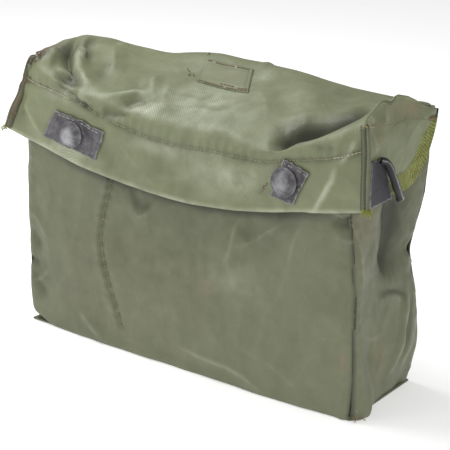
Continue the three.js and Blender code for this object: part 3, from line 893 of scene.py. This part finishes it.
right_grid, side_share = panel_between(front_right_seam, back_right_seam, flat_foot, flat_top, 62, 130)
gusset = Sheet(right_grid)
under_wing = ramp(gusset.points[:, :, 2], 224, 196)
side_creases = [
    ([(6, 196), (12, 164), (10, 132), (-2, 98)], -9.0, 15, 0.75),
    ([(2, 186), (4, 156), (2, 126), (-2, 106)], -3.5, 7, 0.6),
    ([(14, 180), (26, 150), (30, 128)], 2.5, 8, 0.1),
    ([(-50, 168), (-42, 146), (-42, 123), (-37, 104)], 2.6, 4.0, 0.4),
    ([(36, 104), (27, 66), (18, 44), (2, 16)], 4.2, 4.0, 0.6),
    ([(43, 104), (40, 72), (34, 46), (22, 20)], 3.6, 4.0, 0.5),
    ([(44, 88), (33, 60), (24, 36)], -2.2, 4.0, 0.3),
    ([(-22, 100), (4, 96), (24, 90), (34, 84)], -2.2, 3.0, 0.3),
    ([(-18, 93), (6, 90), (26, 82)], 1.8, 4, 0.2),
    ([(28, 136), (38, 124), (46, 119)], -2.0, 5, 0.15),
    ([(30, 116), (40, 112), (48, 110)], 2.6, 4, 0.35),
    ([(20, 150), (34, 172), (42, 196)], 2.2, 8, 0.1),
    ([(-20, 66), (-26, 40), (-22, 16)], -1.8, 9, 0.1),
    ([(-42, 72), (-20, 62), (0, 64)], 1.4, 7, 0.15),
]
gusset.folds(side_creases, "side", under_wing)
gusset.crumple(44, 2.0, 21, only=under_wing)
gusset.crumple(22, 1.0, 22, stretch=(1, 0.8, 1.5), only=under_wing, ridged=True, mark=0.3)
gusset.crumple(9, 0.3, 23, only=under_wing, ridged=True)
foot_bulge = 9.5
bulging = near(gusset.points[:, :, 1] + 34, 15) * ramp(gusset.points[:, :, 2], 50, 4)
gusset.points[:, :, 0] += foot_bulge * bulging
turn_edges(gusset, (-1, 0, 0), side_share, 100, foot_depth=0.6)
# A grime patch in the hollow below the strap: painted shade, as are the grime marks of the creases that form
# the hollow.
gusset.stain((8, 160), (16, 34), GRIME_AND_SHADE, 0.35, "side")
for place, size, strength in [((-12, 38), (12, 24), 0.3), ((-40, 145), (6, 26), 0.3),
                              ((-30, 160), (16, 14), 0.25)]:
    gusset.stain(place, size, CLAY, strength, "side")
gusset.make("right_gusset_cloth", body_canvas, "bag", "body_canvas", ("right_gusset",),
            flat=(102, 245), rests_on=["bottom_panel"])

left_grid, _ = panel_between(front_left_seam, back_left_seam, flat_foot, flat_top, 62, 130)
left = Sheet(left_grid)
left_corner_lift = 8.5
lifted = np.outer(ramp(left.points[:, 0, 2], 40, 0), ramp(side_share, 0.35, 0.0))
left.points[:, :, 2] += left_corner_lift * lifted
left_hang = ramp(left.points[:, :, 2], 224, 196)
left.folds([
    ([(-8, 190), (2, 150), (6, 110), (0, 70)], -5.0, 18, 0.2),
    ([(-46, 100), (-30, 76), (-10, 60)], 2.4, 5, 0.3),
    ([(-44, 60), (-20, 40), (6, 30)], -2.4, 5, 0.3),
    ([(38, 120), (26, 80), (14, 36)], 2.4, 5, 0.3),
    ([(-30, 150), (-38, 120), (-34, 92)], 2.0, 5, 0.2),
], "side", left_hang)
left.crumple(44, 2.0, 31, only=left_hang)
left.crumple(22, 1.0, 32, stretch=(1, 0.8, 1.5), only=left_hang, ridged=True, mark=0.3)
turn_edges(left, (1, 0, 0), side_share, 100)
left.make("left_gusset_cloth", body_canvas, "bag", "body_canvas", ("left_gusset",),
          flat=(102, 245), rests_on=["bottom_panel"])

# %% Back and bottom panels
back_grid, back_share = panel_between(back_left_seam, back_right_seam, flat_foot, flat_top, 176, 110)
back = Sheet(back_grid)
back_hang = ramp(back.points[:, :, 2], 226, 196)
back.folds([
    ([(60, 70), (110, 100), (168, 121)], -3.0, 8, 0.3),
    ([(110, 60), (140, 84), (168, 98)], 2.4, 6, 0.3),
    ([(-120, 150), (-60, 110), (0, 96)], -2.2, 12, 0.1),
    ([(-150, 40), (-90, 30), (-40, 10)], 2.0, 6, 0.3),
    ([(20, 160), (40, 120), (36, 80)], 1.8, 10, 0.1),
    ([(-170, 110), (-140, 100), (-120, 80)], 2.0, 6, 0.3),
], "front", back_hang)
back.crumple(80, 2.4, 41, only=back_hang)
back.crumple(30, 1.2, 42, only=back_hang, ridged=True, mark=0.3)
turn_edges(back, (0, -1, 0), back_share, 348)
back.make("back_panel_cloth", body_canvas, "bag", "body_canvas", ("back_panel",),
          flat=(350, 245), rests_on=["bottom_panel"])

base_x, base_y = np.meshgrid(np.linspace(-171, 173, 120), np.linspace(-50.5, 47.5, 40))
base = Sheet(np.stack([base_x, base_y, np.full_like(base_x, foot)], axis=2))
base_edge = np.minimum(173 - np.abs(base_x), 47.5 - np.abs(base_y))
base.points[:, :, 2] += 1.2 * ramp(base_edge, 16, 30) * (1 + noise_at(base.points, 24, 51))
base.stain((0, 0), (160, 40), GRIME_AND_SHADE, 0.25, "top")
base.make("bottom_panel_cloth", body_canvas, "bag", "body_canvas", ("bottom_panel",),
          flat=(346, 98), held="laid")

# %% [markdown]
# ## The lid's inside and its side wings
# A facing strip stiffens the flap behind the fasteners. The wings box in the lid's ends. Each hangs
# from the lid's own edge, so its top row is copied from the lid and can never drift away from it.

# %% Facing
facing_rows, facing_columns = slice(84, 101), slice(5, lid_columns - 5)
facing_gap = 1.9
facing_grid = (lid.points - lid.normals() * facing_gap)[facing_rows, facing_columns]
facing = Sheet(facing_grid)
facing.make("flap_facing_cloth", lid_canvas, "lid", "lid_canvas", ("flap_facing",), thickness=1.0,
            flat=(340, 30), held="laid", rests_on=["lid_cover"])

# %% Wings
wing_outside = 178.6
wing_drop, wing_behind, wing_inside = 0.8, 1.8, 0.6  # how far the lid's edge covers the wing
wing_low = [(53, 236), (40, 227), (29, 217), (21, 207), (12, 200), (-7, 197), (-30, 190), (-59, 181)]
wing_columns, wing_rows = 70, 56
crest_row = int(np.searchsorted(lid_distance, 114))
top_rows, crest_rows = slice(0, crest_row), slice(crest_row, hinge_rows)


def wing_sheet(side, seed):
    """The boxed end of the lid: side is 1 on the right and -1 on the left."""
    edge = lid.points[:hinge_rows, -1 if side > 0 else 0].copy()
    edge[:, 0] *= side
    y = np.linspace(53, -58, wing_columns)
    top = edge[:crest_row]
    order = np.argsort(top[:, 1])
    top_x, top_z = (np.interp(y, top[order, 1], top[order, k]) for k in (0, 2))
    top_z = top_z - wing_drop
    low = np.array(wing_low[::-1], float)
    low_z = through(low[:, 0], low[:, 1], y)
    share = np.linspace(0, 1, wing_rows)[:, None]
    z = top_z + (low_z - top_z) * share
    lean = ramp(share, 0.0, 0.42)
    x = top_x + (wing_outside - top_x) * lean
    grid = np.stack([x, np.broadcast_to(y, z.shape), z], axis=2)
    flap_edge = edge[crest_row - 2:]
    up = np.argsort(flap_edge[:, 2])
    front_x, front_y = (np.interp(z, flap_edge[up, 2], flap_edge[up, k]) for k in (0, 1))
    near_flap = ramp(y[None, :], front_y + 10, front_y)
    grid[:, :, 0] += (front_x - wing_inside - grid[:, :, 0]) * near_flap
    grid[:, :, 1] = np.maximum(grid[:, :, 1], front_y + wing_behind)
    wing = Sheet(grid)
    loose = ramp(share, 0.0, 0.12) * ramp(y, -54, -40)[None, :] * ramp(y, 53, 44)[None, :]
    wing.folds([
        ([(-16, 258), (-22, 246), (-30, 236)], 1.2, 4, 0.3),
        ([(10, 250), (4, 238), (-4, 226)], -1.0, 8, 0.1),
        ([(40, 238), (20, 230), (4, 216)], 0.9, 6, 0.1),
        ([(-46, 244), (-42, 230), (-40, 222)], 1.2, 3, 0.5),
        ([(-52, 250), (-44, 252), (-38, 244)], 1.2, 3.5, 0.6),
    ], "side", loose)
    wing.crumple(30, 0.8, seed, only=loose)
    wing.crumple(12, 0.3, seed + 1, only=loose, ridged=True, mark=0.3)
    wing.marks[:, :, WEAR_AND_HIGHLIGHT] += 0.3 * ramp(share, 0.04, 0.0)
    # The wing's lowest rows are darkened: a painted shadow line along its edge.
    wing.marks[:, :, GRIME_AND_SHADE] += 0.9 * ramp(share, 0.975, 0.99)
    for place, size, strength in [((18, 246), (26, 7), 0.55), ((-40, 238), (12, 10), 0.45),
                                  ((-16, 252), (14, 9), 0.3)]:
        wing.stain(place, size, CLAY, strength, "side")
    if side < 0:
        wing.flip_side()
    return wing


wings = {1: wing_sheet(1, 61), -1: wing_sheet(-1, 66)}
side_names = {1: "right", -1: "left"}
for side, wing in wings.items():
    name = side_names[side] + "_wing"
    wing.make(name + "_cloth", lid_canvas, "lid", "lid_canvas", (name,), flat=(112, 80), area=5000,
              rests_on=["lid_cover"])

# %% [markdown]
# The corner between wing and flap is sewn with the raw edges outside, so a thick double ridge of
# cloth runs down it and ends in a frayed tip. Its section is a small curve with two humps, swept
# down the edge of the flap.

# %% Corner bindings
binding_section = [(-1.6, -0.4), (0.2, -2.2), (1.8, -3.4), (3.2, -2.0), (4.6, -3.0), (5.6, -1.4), (5.4, 1.2),
                   (4.0, 3.2), (1.4, 4.6), (-0.6, 5.6)]
binding_rows, binding_columns = 64, 30


def corner_binding(side, seed):
    """The doubled seam down one end of the flap."""
    edge = lid.points[crest_rows, -1 if side > 0 else 0].copy()
    edge[:, 0] *= side
    edge, steps = even_curve(edge, binding_rows)
    section, across = even_curve(binding_section, binding_columns)
    grid = np.repeat(edge[:, None, :], binding_columns, axis=1)
    swell = 1 + 0.12 * np.sin(steps / 4.1 + seed)
    grid[:, :, 0] += section[None, :, 0] * 1.05 - 2.4
    grid[:, :, 1] += section[None, :, 1] * swell[:, None] * 0.85
    strip = Sheet(grid, middle=(150, -30, 220))
    strip.crumple(7, 0.5, seed, stretch=(1, 1, 3))
    strip.marks[:, :, CLAY] += 0.05 if side > 0 else 0.35
    strip.marks[:, :, WEAR_AND_HIGHLIGHT] += 0.25 * near(across - 4, 0.5)
    # Grime over the whole strip, a darker groove between its ridges, and a painted shadow along its edge
    # against the flap.
    strip.marks[:, :, GRIME_AND_SHADE] += 0.55 + 0.5 * near(across - 3, 0.6) + 0.5 * near(across - 0.3, 0.7)
    if side < 0:
        strip.flip_side()
    return strip


bindings = {}
for side in (1, -1):
    name = side_names[side] + "_corner_binding"
    bindings[side] = corner_binding(side, 71 + side)
    bindings[side].make(name + "_cloth", lid_canvas, "lid", "lid_canvas", (name,), thickness=0.9,
                        flat=(20, 72), held="folded", rests_on=["lid_cover"])

# %% [markdown]
# ## Hinge tape, top patch and divider
# The tape covers the seam that the lid turns on. It ends right at the hinge line, and is blended
# from the bag to the lid. The patch is a second layer sewn to the top. The divider splits the bag
# inside.

# %% Hinge tape
tape_face = 52.9
tape_x, tape_z = np.meshgrid(np.linspace(-171, 171, 172), np.linspace(225.5, 245.2, 14))
hinge_edge = lid.points[0]
tape_top = np.interp(tape_x, hinge_edge[:, 0], hinge_edge[:, 2])
tape_z += (tape_top - 245.4) * ramp(tape_z, 228, 245)
tape = Sheet(np.stack([tape_x, np.full_like(tape_x, tape_face), tape_z], axis=2))
tape.points[:, :, 1] += 0.25 * noise_at(tape.points, 14, 81)
hinge_tape = tape.make("hinge_tape_cloth", lid_canvas, None, "lid_canvas", ("hinge_tape",), thickness=1.1,
                       flat=(342, 20), held="laid", rests_on=["back_panel_cloth"])
with bpy.context.temp_override(object=hinge_tape, active_object=hinge_tape, selected_objects=[hinge_tape]):
    bpy.ops.object.modifier_apply(modifier="thickness")
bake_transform(hinge_tape)

# %% Top patch
patch_corners = [(-31, 28), (19, 25), (36, -7), (-21, -3)]
patch_lift = 1.5


def on_lid(x, y):
    """The place just above the lid's top at x, y."""
    point, normal = lid.nearest((x, y), "top", top_rows)
    return point + normal * patch_lift


patch_u, patch_v = np.meshgrid(np.linspace(0, 1, 44), np.linspace(0, 1, 26))
patch = Sheet([[on_lid(x, y) for x, y in row] for row in between(patch_corners, patch_u, patch_v)])
patch_edge = np.minimum(np.minimum(patch_u, 1 - patch_u) * 58, np.minimum(patch_v, 1 - patch_v) * 30)
patch.push(-0.9 * ramp(patch_edge, 1.8, 0.0) - 0.5 * near(patch_edge - 3.4, 1.2))
patch.crumple(14, 0.5, 85)
patch.marks[:, :, WEAR_AND_HIGHLIGHT] += 0.3 * ramp(patch_edge, 1.2, 0.0)
patch.stain((2, 10), (26, 12), CLAY, 0.12, "top")
patch.make("top_patch_cloth", lid_canvas, "lid", "lid_canvas", ("top_patch",), thickness=1.3,
           flat=(57, 34), held="laid", rests_on=["lid_cover"])

# %% Divider
divider_x, divider_foot, divider_top, divider_dip = -75, 2.5, 191, 6
divider_front, divider_back = -46.5, 42.5
rail_y, rail_v = np.meshgrid(np.linspace(divider_front, divider_back, 48), np.linspace(0, 1, 90))
arch = np.sin((rail_y - divider_front) / 93 * math.pi)
divider_z = divider_foot + (divider_top - divider_foot - divider_dip * arch) * rail_v
divider = Sheet(np.stack([np.full_like(rail_y, divider_x), rail_y, divider_z], axis=2))
hold = arch * np.sin(rail_v * math.pi * 0.62)
divider.points[:, :, 0] += 5 * hold * np.sin(rail_y / 21)
divider.crumple(30, 1.5, 91, only=hold)
divider.make("divider_cloth", body_canvas, "bag", "body_canvas", ("divider",), flat=(92, 188),
             rests_on=["front_panel_cloth", "back_panel_cloth"])

# %% [markdown]
# ## Leather tabs, keepers and fasteners
# Leather doesn't hang like cloth. A tab is a small thick plate with cut edges that have worn ragged,
# so its outline is a quad whose border is nibbled by noise, and a bevelled wall gives it its depth.


# %% Leather plate
plate_gap = 0.3  # between a plate's back and the cloth that it lies on


def leather_plate(name, corners, body, replaces, seed, wall=1.7, ragged=0.7, steps=(40, 34),
                  middle=sack_middle, onto=None, cup=0.0, paleness=0.9, finish=leather):
    """A plate between four corners in space, given clockwise from the top left, with ragged edges.

    Where onto is a sheet, the plate lies on that sheet's crest rows."""
    u, v = np.meshgrid(np.linspace(0, 1, steps[0]), np.linspace(0, 1, steps[1]))
    grid = between(corners, u, v)
    wide, tall = (math.dist(corners[0], corners[k]) for k in (1, 3))
    border = np.minimum(np.minimum(u, 1 - u) * wide, np.minimum(v, 1 - v) * tall)
    from_heart = grid - grid.mean(axis=(0, 1))
    outward = from_heart / np.maximum(np.linalg.norm(from_heart, axis=2, keepdims=True), 1e-6)
    rough = noise_at(grid, 4.5, seed) + 0.6 * noise_at(grid, 2.0, seed + 1)
    grid = grid + outward * (ragged * rough * ramp(border, 2.6, 0.0))[..., None]
    if onto:
        under = [[onto.nearest(p[[0, 2]], "front", crest_rows) for p in line] for line in grid]
        grid = [[point + normal * (wall + plate_gap) for point, normal in line] for line in under]
    plate = Sheet(grid, middle)
    plate.push(cup * ramp(border, 7, 0.0) - 0.35 * ramp(border, 1.2, 0.0))
    plate.crumple(8, 0.3, seed + 2)
    plate.marks[:, :, WEAR_AND_HIGHLIGHT] += paleness * ramp(border, 1.3, 0.0) * (0.5 + 0.5 * noise_at(grid, 5, seed + 3))
    plate.make(name, finish, body, "black_leather", replaces, thickness=wall)
    return plate


# %% Tabs and stud patches
tab_face, stud_patch_face, stud_patch_half = -61.7, -51.4, 13
tab_corners = {
    -1: [(-129, 210), (-70, 201.5), (-83, 173.5), (-145, 184)],
    1: [(108, 210), (132, 203), (118, 174), (97, 177)],
}
tabs = {}
for side, outline in tab_corners.items():
    name = side_names[side] + "_fastener_tab"
    space = [(x, tab_face, z) for x, z in outline]
    tabs[side] = leather_plate(name + "_leather", space, "lid", (name,), 100 + 5 * side, ragged=1.2,
                               onto=lid, cup=0.2)
    stud = side_names[side] + "_stud_patch"
    square = [(side * fastener_x + across, stud_patch_face, fastener_z + upward)
              for across, upward in np.multiply([(-1, 1), (1, 1), (1, -1), (-1, -1)], stud_patch_half)]
    leather_plate(stud + "_leather", square, "bag", (stud,), 120 + 5 * side, wall=1.1, ragged=0.4)

# %% [markdown]
# The cap of a press fastener is one stamped disc: a shallow dome, a rolled rim and a hollow back. A
# section spun once round an axis gives it exactly that way.

# %% Fastener caps
cap_section = [(0, 4.3), (3, 4.2), (6, 3.75), (8.6, 2.9), (9.6, 2.25), (10.1, 2.0), (10.8, 2.1), (11.5, 1.9),
               (11.9, 1.3), (11.9, 0.7), (11.4, 0.2), (10.6, 0.15), (9.5, 0.6), (6, 1.2), (0, 1.4)]
cap_back = -62.4
cap_lean = {1: 0, -1: 5}
cap_turns = 64
cap_nod = math.radians(-4.5)
cap_dents = 0.16
cap_rub_and_highlight = {1: 0.7, -1: 1.6}


def spun_cap(side):
    """The domed cap on one side, with its dents and its worn crown, whose pale spot low on the left is also
    a painted highlight.
    """
    bm = bmesh.new()
    verts = [bm.verts.new((r, 0, h)) for r, h in cap_section]
    for a, b in zip(verts, verts[1:]):
        bm.edges.new((a, b))
    bmesh.ops.spin(bm, geom=bm.verts[:] + bm.edges[:], cent=(0, 0, 0), axis=(0, 0, 1), dvec=(0, 0, 0),
                   angle=math.tau, steps=cap_turns, use_merge=True)
    bmesh.ops.remove_doubles(bm, verts=bm.verts, dist=0.001)
    bmesh.ops.subdivide_edges(bm, edges=bm.edges[:], cuts=1, use_grid_fill=True, smooth=0)
    for v in bm.verts:
        v.co.z += cap_dents * noise.noise(v.co / 5 + Vector((side * 9, 0, 0)))
    bmesh.ops.recalc_face_normals(bm, faces=bm.faces)
    bmesh.ops.rotate(bm, cent=(0, 0, 0), matrix=Matrix.Rotation(math.radians(90), 3, "X"), verts=bm.verts)
    tilt = Matrix.Rotation(math.radians(cap_lean[side]), 3, "Z") @ Matrix.Rotation(cap_nod, 3, "X")
    bmesh.ops.rotate(bm, cent=(0, 0, 0), matrix=tilt, verts=bm.verts)
    place = (side * fastener_x, cap_back - 0.1 * cap_lean[side], fastener_z)
    bmesh.ops.translate(bm, vec=place, verts=bm.verts)
    bmesh.ops.scale(bm, vec=(MM, MM, MM), verts=bm.verts)
    node = side_names[side] + "_fastener_cap"
    mesh = mesh_from(bm, node + "_dome", metal)
    mesh.shade_smooth()
    paint = mesh.color_attributes.new("marks", "FLOAT_COLOR", "POINT")
    co = np.empty(len(mesh.vertices) * 3)
    mesh.vertices.foreach_get("co", co)
    x, _, z = co.reshape(-1, 3).T / MM - [[side * fastener_x], [0], [fastener_z]]
    # The pale spot sits low and to the left of the crown: worn lacquer together with a painted highlight.
    rub_and_highlight = cap_rub_and_highlight[side] * ramp(np.hypot(x + 1.5, z + 2.0), 11.0, 0.0)
    rub_and_highlight += 0.3 * ramp(np.hypot(x, z), 11.2, 11.8)
    colour = np.zeros((len(x), 4))
    colour[:, 0], colour[:, 3] = np.clip(rub_and_highlight, 0, 1), 1
    paint.data.foreach_set("color", colour.ravel())
    piece = stand(node + "_dome", mesh)
    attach(piece, "lid")
    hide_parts(node)


for side in (1, -1):
    spun_cap(side)

# %% Sockets, studs and eyelets keep their turned shapes
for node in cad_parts:
    if any(word in node for word in ("_socket", "_stud", "_eyelet")) and "patch" not in node:
        holder = bpy.data.objects[node]
        holder.data.materials.clear()
        holder.data.materials.append(metal)
        print(node, "gets the worn metal")

# %% [markdown]
# Each keeper is a strip of darker leather at the front of a wing. It lies flat on the wing, and
# its free end has curled over into a stiff roll that stands away from the side.

# %% Keepers
keeper_x = 180.6
keeper_flat = [(-51.5, 218), (-33, 217.5), (-16, 181), (-50.5, 181)]
curl_line = [(-39, 217, 0.5), (-33, 214, 3.0), (-26, 203, 4.6), (-18, 191, 4.6), (-9, 180, 3.4)]
curl_radius = 3.3


def keeper(side):
    """One side's strip and its curled end, which move as one body."""
    corners = [(side * keeper_x, y, z) for y, z in keeper_flat]
    node = side_names[side] + "_keeper"
    leather_plate(node + "_leather", corners, node, (node,), 140 + side, ragged=1.1, wall=1.3,
                  middle=(0, -40, 200), paleness=0.7, cup=0.3, finish=keeper_leather)
    middle_line, steps = even_curve([(keeper_x + lift, y, z) for y, z, lift in curl_line], 40)
    ahead = np.gradient(middle_line, axis=0)
    ahead /= np.linalg.norm(ahead, axis=1, keepdims=True)
    out = np.array([1.0, 0, 0]) - ahead * ahead[:, :1]
    out /= np.linalg.norm(out, axis=1, keepdims=True)
    across = np.cross(ahead, out)
    angles = np.linspace(-0.5 * math.pi, 1.12 * math.pi, 26)
    size = curl_radius * (0.75 + 0.35 * ramp(steps, 0, 1.5)) * (1 + 0.06 * np.sin(steps * 5))
    ring = (np.cos(angles)[None, :, None] * across[:, None, :]
            + np.sin(angles)[None, :, None] * out[:, None, :] * 0.8)
    grid = middle_line[:, None, :] + ring * size[:, None, None]
    curl = Sheet(grid)
    curl.turned = 1 if ((grid - middle_line[:, None, :]) * curl.normals()).sum() * curl.turned > 0 else -1
    curl.crumple(7, 0.35, 150 + side)
    # A thin pale line along the roll: a painted highlight.
    curl.marks[:, :, WEAR_AND_HIGHLIGHT] += 0.6 * near(np.linspace(0, 1, len(angles)) - 0.62, 0.035)
    curl.marks[:, :, WEAR_AND_HIGHLIGHT] += 0.25 * ramp(steps, 3.85, 4.0)[:, None]
    if side < 0:
        curl.flip_side()
    curl.make(node + "_curl", shaded_curl_leather, node, "black_leather", thickness=1.3)


for side in (1, -1):
    keeper(side)

# %% [markdown]
# ## The side straps
# Coarse yellow-green webbing leaves the keeper and turns up behind the wing to the back corner. The
# outer edge of the band is the curve that shows, so it is drawn first and the width is laid inwards
# from it. The twill is real relief: slanting ribs raised on a fine grid.

# %% Straps
strap_line = [(49, 240), (47, 228), (40, 213), (30, 201), (18, 194), (2, 193), (-16, 197)]
strap_face, strap_wide = 176.6, 25
rib_pitch, rib_across, rib_height = 2.5, 2.6, 0.28
strap_shown, blackened = 97, 12


def side_strap(side):
    """One side's webbing, laid over the side panel and ribbed."""
    edge, _ = even_curve(strap_line, 250)
    ahead = np.gradient(edge, axis=0)
    ahead /= np.linalg.norm(ahead, axis=1, keepdims=True)
    inward = np.stack([ahead[:, 1], -ahead[:, 0]], axis=1)
    across = np.linspace(-strap_wide / 2, strap_wide / 2, 76)
    y = edge[:, None, 0] + inward[:, None, 0] * across
    z = edge[:, None, 1] + inward[:, None, 1] * across
    rows, columns = (n - 1 for n in gusset.points.shape[:2])
    row = np.rint(z / bag_height * rows).astype(int).clip(0, rows)
    column = np.rint((y / 100 + 0.5) * columns).astype(int).clip(0, columns)
    x = np.maximum(strap_face, gusset.points[row, column, 0] + 1.2)
    x = strap_face + ramp(y, 20, 34) * (x - strap_face)
    band = Sheet(np.stack([x, y, z], axis=2), middle=(0, 0, 200))
    length = np.concatenate([[0], np.cumsum(np.linalg.norm(np.diff(edge, axis=0), axis=1))])
    slant = length[:, None] + np.abs(across[None, :]) * 0.9
    rib = np.sin(slant * math.tau / rib_pitch) * np.cos(across[None, :] * math.tau / rib_across)
    band.push(rib_height * rib - 0.3)
    # The hollows between the ribs are darkened: painted shade.
    band.marks[:, :, 0] = 0.5 - 0.5 * rib
    band.marks[:, :, 1] = ramp(length, blackened, 4)[:, None]
    if side < 0:
        band.flip_side()
    node = side_names[side] + "_side_strap"
    band.make(node + "_webbing", webbing, "bag", "webbing", (node,), thickness=1.2,
              flat=(strap_wide, strap_shown), rests_on=[side_names[side] + "_gusset_cloth"])


for side in (1, -1):
    side_strap(side)

# %% [markdown]
# ## Sewing
# These seams get their thread: the topstitch over the flap, the box round the patch, the tabs, the
# wings, the divider's seam on the front, the hinge tape and the right front corner seam. Old thread
# has gaps, knots and tufts.

# %% Seams on the lid
sew("flap_topstitch", [lid.along(half, "front", 3.4, crest_rows) for half in (topstitch[:6], topstitch[5:])],
    tan_thread, "lid", missing=0.18, seed=201)
sew("flap_topstitch_ends", [lid.along([(-172, 230), (-140, 227.5), (-112, 222)], "front", 3.0, crest_rows),
                            lid.along([(150, 217), (164, 222), (176, 227)], "front", 3.0, crest_rows)],
    pale_thread, "lid", radius=0.5, missing=0.15, seed=202)
sew("patch_stitches", [patch.run((0.02, 0.06), (0.98, 0.06), 19), patch.run((0.02, 0.94), (0.98, 0.94), 20),
                       patch.run((0.45, 0.9), (0.98, 0.86), 9)],
    brown_thread, "lid", radius=0.5, missing=0.12, seed=203)
wing_seam = [(-32, 241), (-10, 238.5), (14, 239), (36, 233.5), (50, 232.5)]
for side, wing in wings.items():
    bars = [[wing.nearest((y + lean, z), "side") for lean, z in ((0, 236.5), (0.6, 231))]
            for y in (41, 43.5, 46, 48)]
    sew(side_names[side] + "_wing_stitches", [wing.along(wing_seam, "side", 3.2)], tan_thread, "lid",
        radius=0.38, missing=0.15, seed=205 + side)
    sew(side_names[side] + "_wing_bars", bars, brown_thread, "lid", radius=0.5, seed=206)

# %% Tabs
box = [(0.07, 0.08), (0.93, 0.08), (0.93, 0.92), (0.07, 0.92), (0.07, 0.08)]
per_edge = 10
for side, plate in tabs.items():
    line = [place for start, end in zip(box, box[1:]) for place in plate.run(start, end, per_edge + 1)[:-1]]
    sew(side_names[side] + "_tab_stitches", [line[:per_edge + 1]], pale_thread, "lid", radius=0.34, lift=0.1,
        missing=0.3, seed=211 + side)
    sew(side_names[side] + "_tab_low_stitches", [line[per_edge:]], tan_thread, "lid", radius=0.26, lift=0.0,
        missing=0.8, seed=215 + side)

# %% Seams on the bag
sew("divider_seam", [front.along(divider_seam, "front", 3.4)], tan_thread, "bag", radius=0.4, missing=0.1,
    seed=221)
sew("tape_stitches", [tape.along([(-168, z), (168, z)], "front") for z in (228, 233)],
    tan_thread, "bag", radius=0.35, missing=0.05, seed=222)
seam_z = np.arange(6, 176, 3.6)
seam_xy = through(seam_heights, front_right_seam, seam_z) + (-1.3, 2.1)
right_seam_line = [(np.array([x, y, z]), np.array([0.7, -0.7, 0])) for (x, y), z in zip(seam_xy, seam_z)]
sew("right_corner_stitches", [right_seam_line], seam_thread, "bag", radius=0.5, missing=0.05, seed=223)

# %% Frayed ends
bm = bmesh.new()
low_right = bindings[1].points[-1]
for k in range(16):
    root = low_right[6 + k] + np.array([0, 0, 2.0])
    tuft(bm, root, (0.25, -0.25, -1), 5.5 + (k % 3), 300 + k, radius=0.34)
low_left = bindings[-1].points[-1]
for k in range(12):
    tuft(bm, low_left[6 + k] + np.array([0, 0, 1.5]), (-0.5, -0.2, -0.8), 5 + (k % 3), 330 + k, radius=0.34)
thread_piece("binding_fray", bm, green_thread, "lid")

bm = bmesh.new()
high_right = bindings[1].points[0]
for k in range(9):
    tuft(bm, high_right[4 + 2 * k], (0.5, -0.2, 0.3), 4.0, 350 + k, radius=0.3)
thread_piece("right_corner_fray", bm, tan_thread, "lid")

bm = bmesh.new()
for k, (x, y) in enumerate([(-36, 36), (-34, 35), (-35, 8), (-33, 6), (-31, 7)]):
    point, normal = lid.nearest((x, y), "top", top_rows)
    tuft(bm, point + normal * 1.4, (-0.7, -0.4, 0.1), 4.5, 370 + k, radius=0.45)
for k, height in enumerate((248, 246, 231, 229, 227, 200, 196)):
    point = bindings[-1].points[np.abs(bindings[-1].points[:, 0, 2] - height).argmin(), 4]
    tuft(bm, point + (3, -1, 0), (0.6, -0.6, 0.1), 5, 380 + k, radius=0.5)
for k in range(5):
    point, normal = lid.nearest((93 - k, 186 - 2 * k), "front", crest_rows)
    tuft(bm, point, (-0.6, -0.3, -0.2), 5, 390 + k, radius=0.32)
thread_piece("brown_tufts", bm, brown_thread, "lid")

bm = bmesh.new()
for k in range(5):
    tuft(bm, (173 + 2 * k, -50 + k, 4.0), (0.7, -0.2, 0.05), 5, 400 + k, radius=0.5, droop=0.0)
thread_piece("foot_knots", bm, brown_thread, "bag")
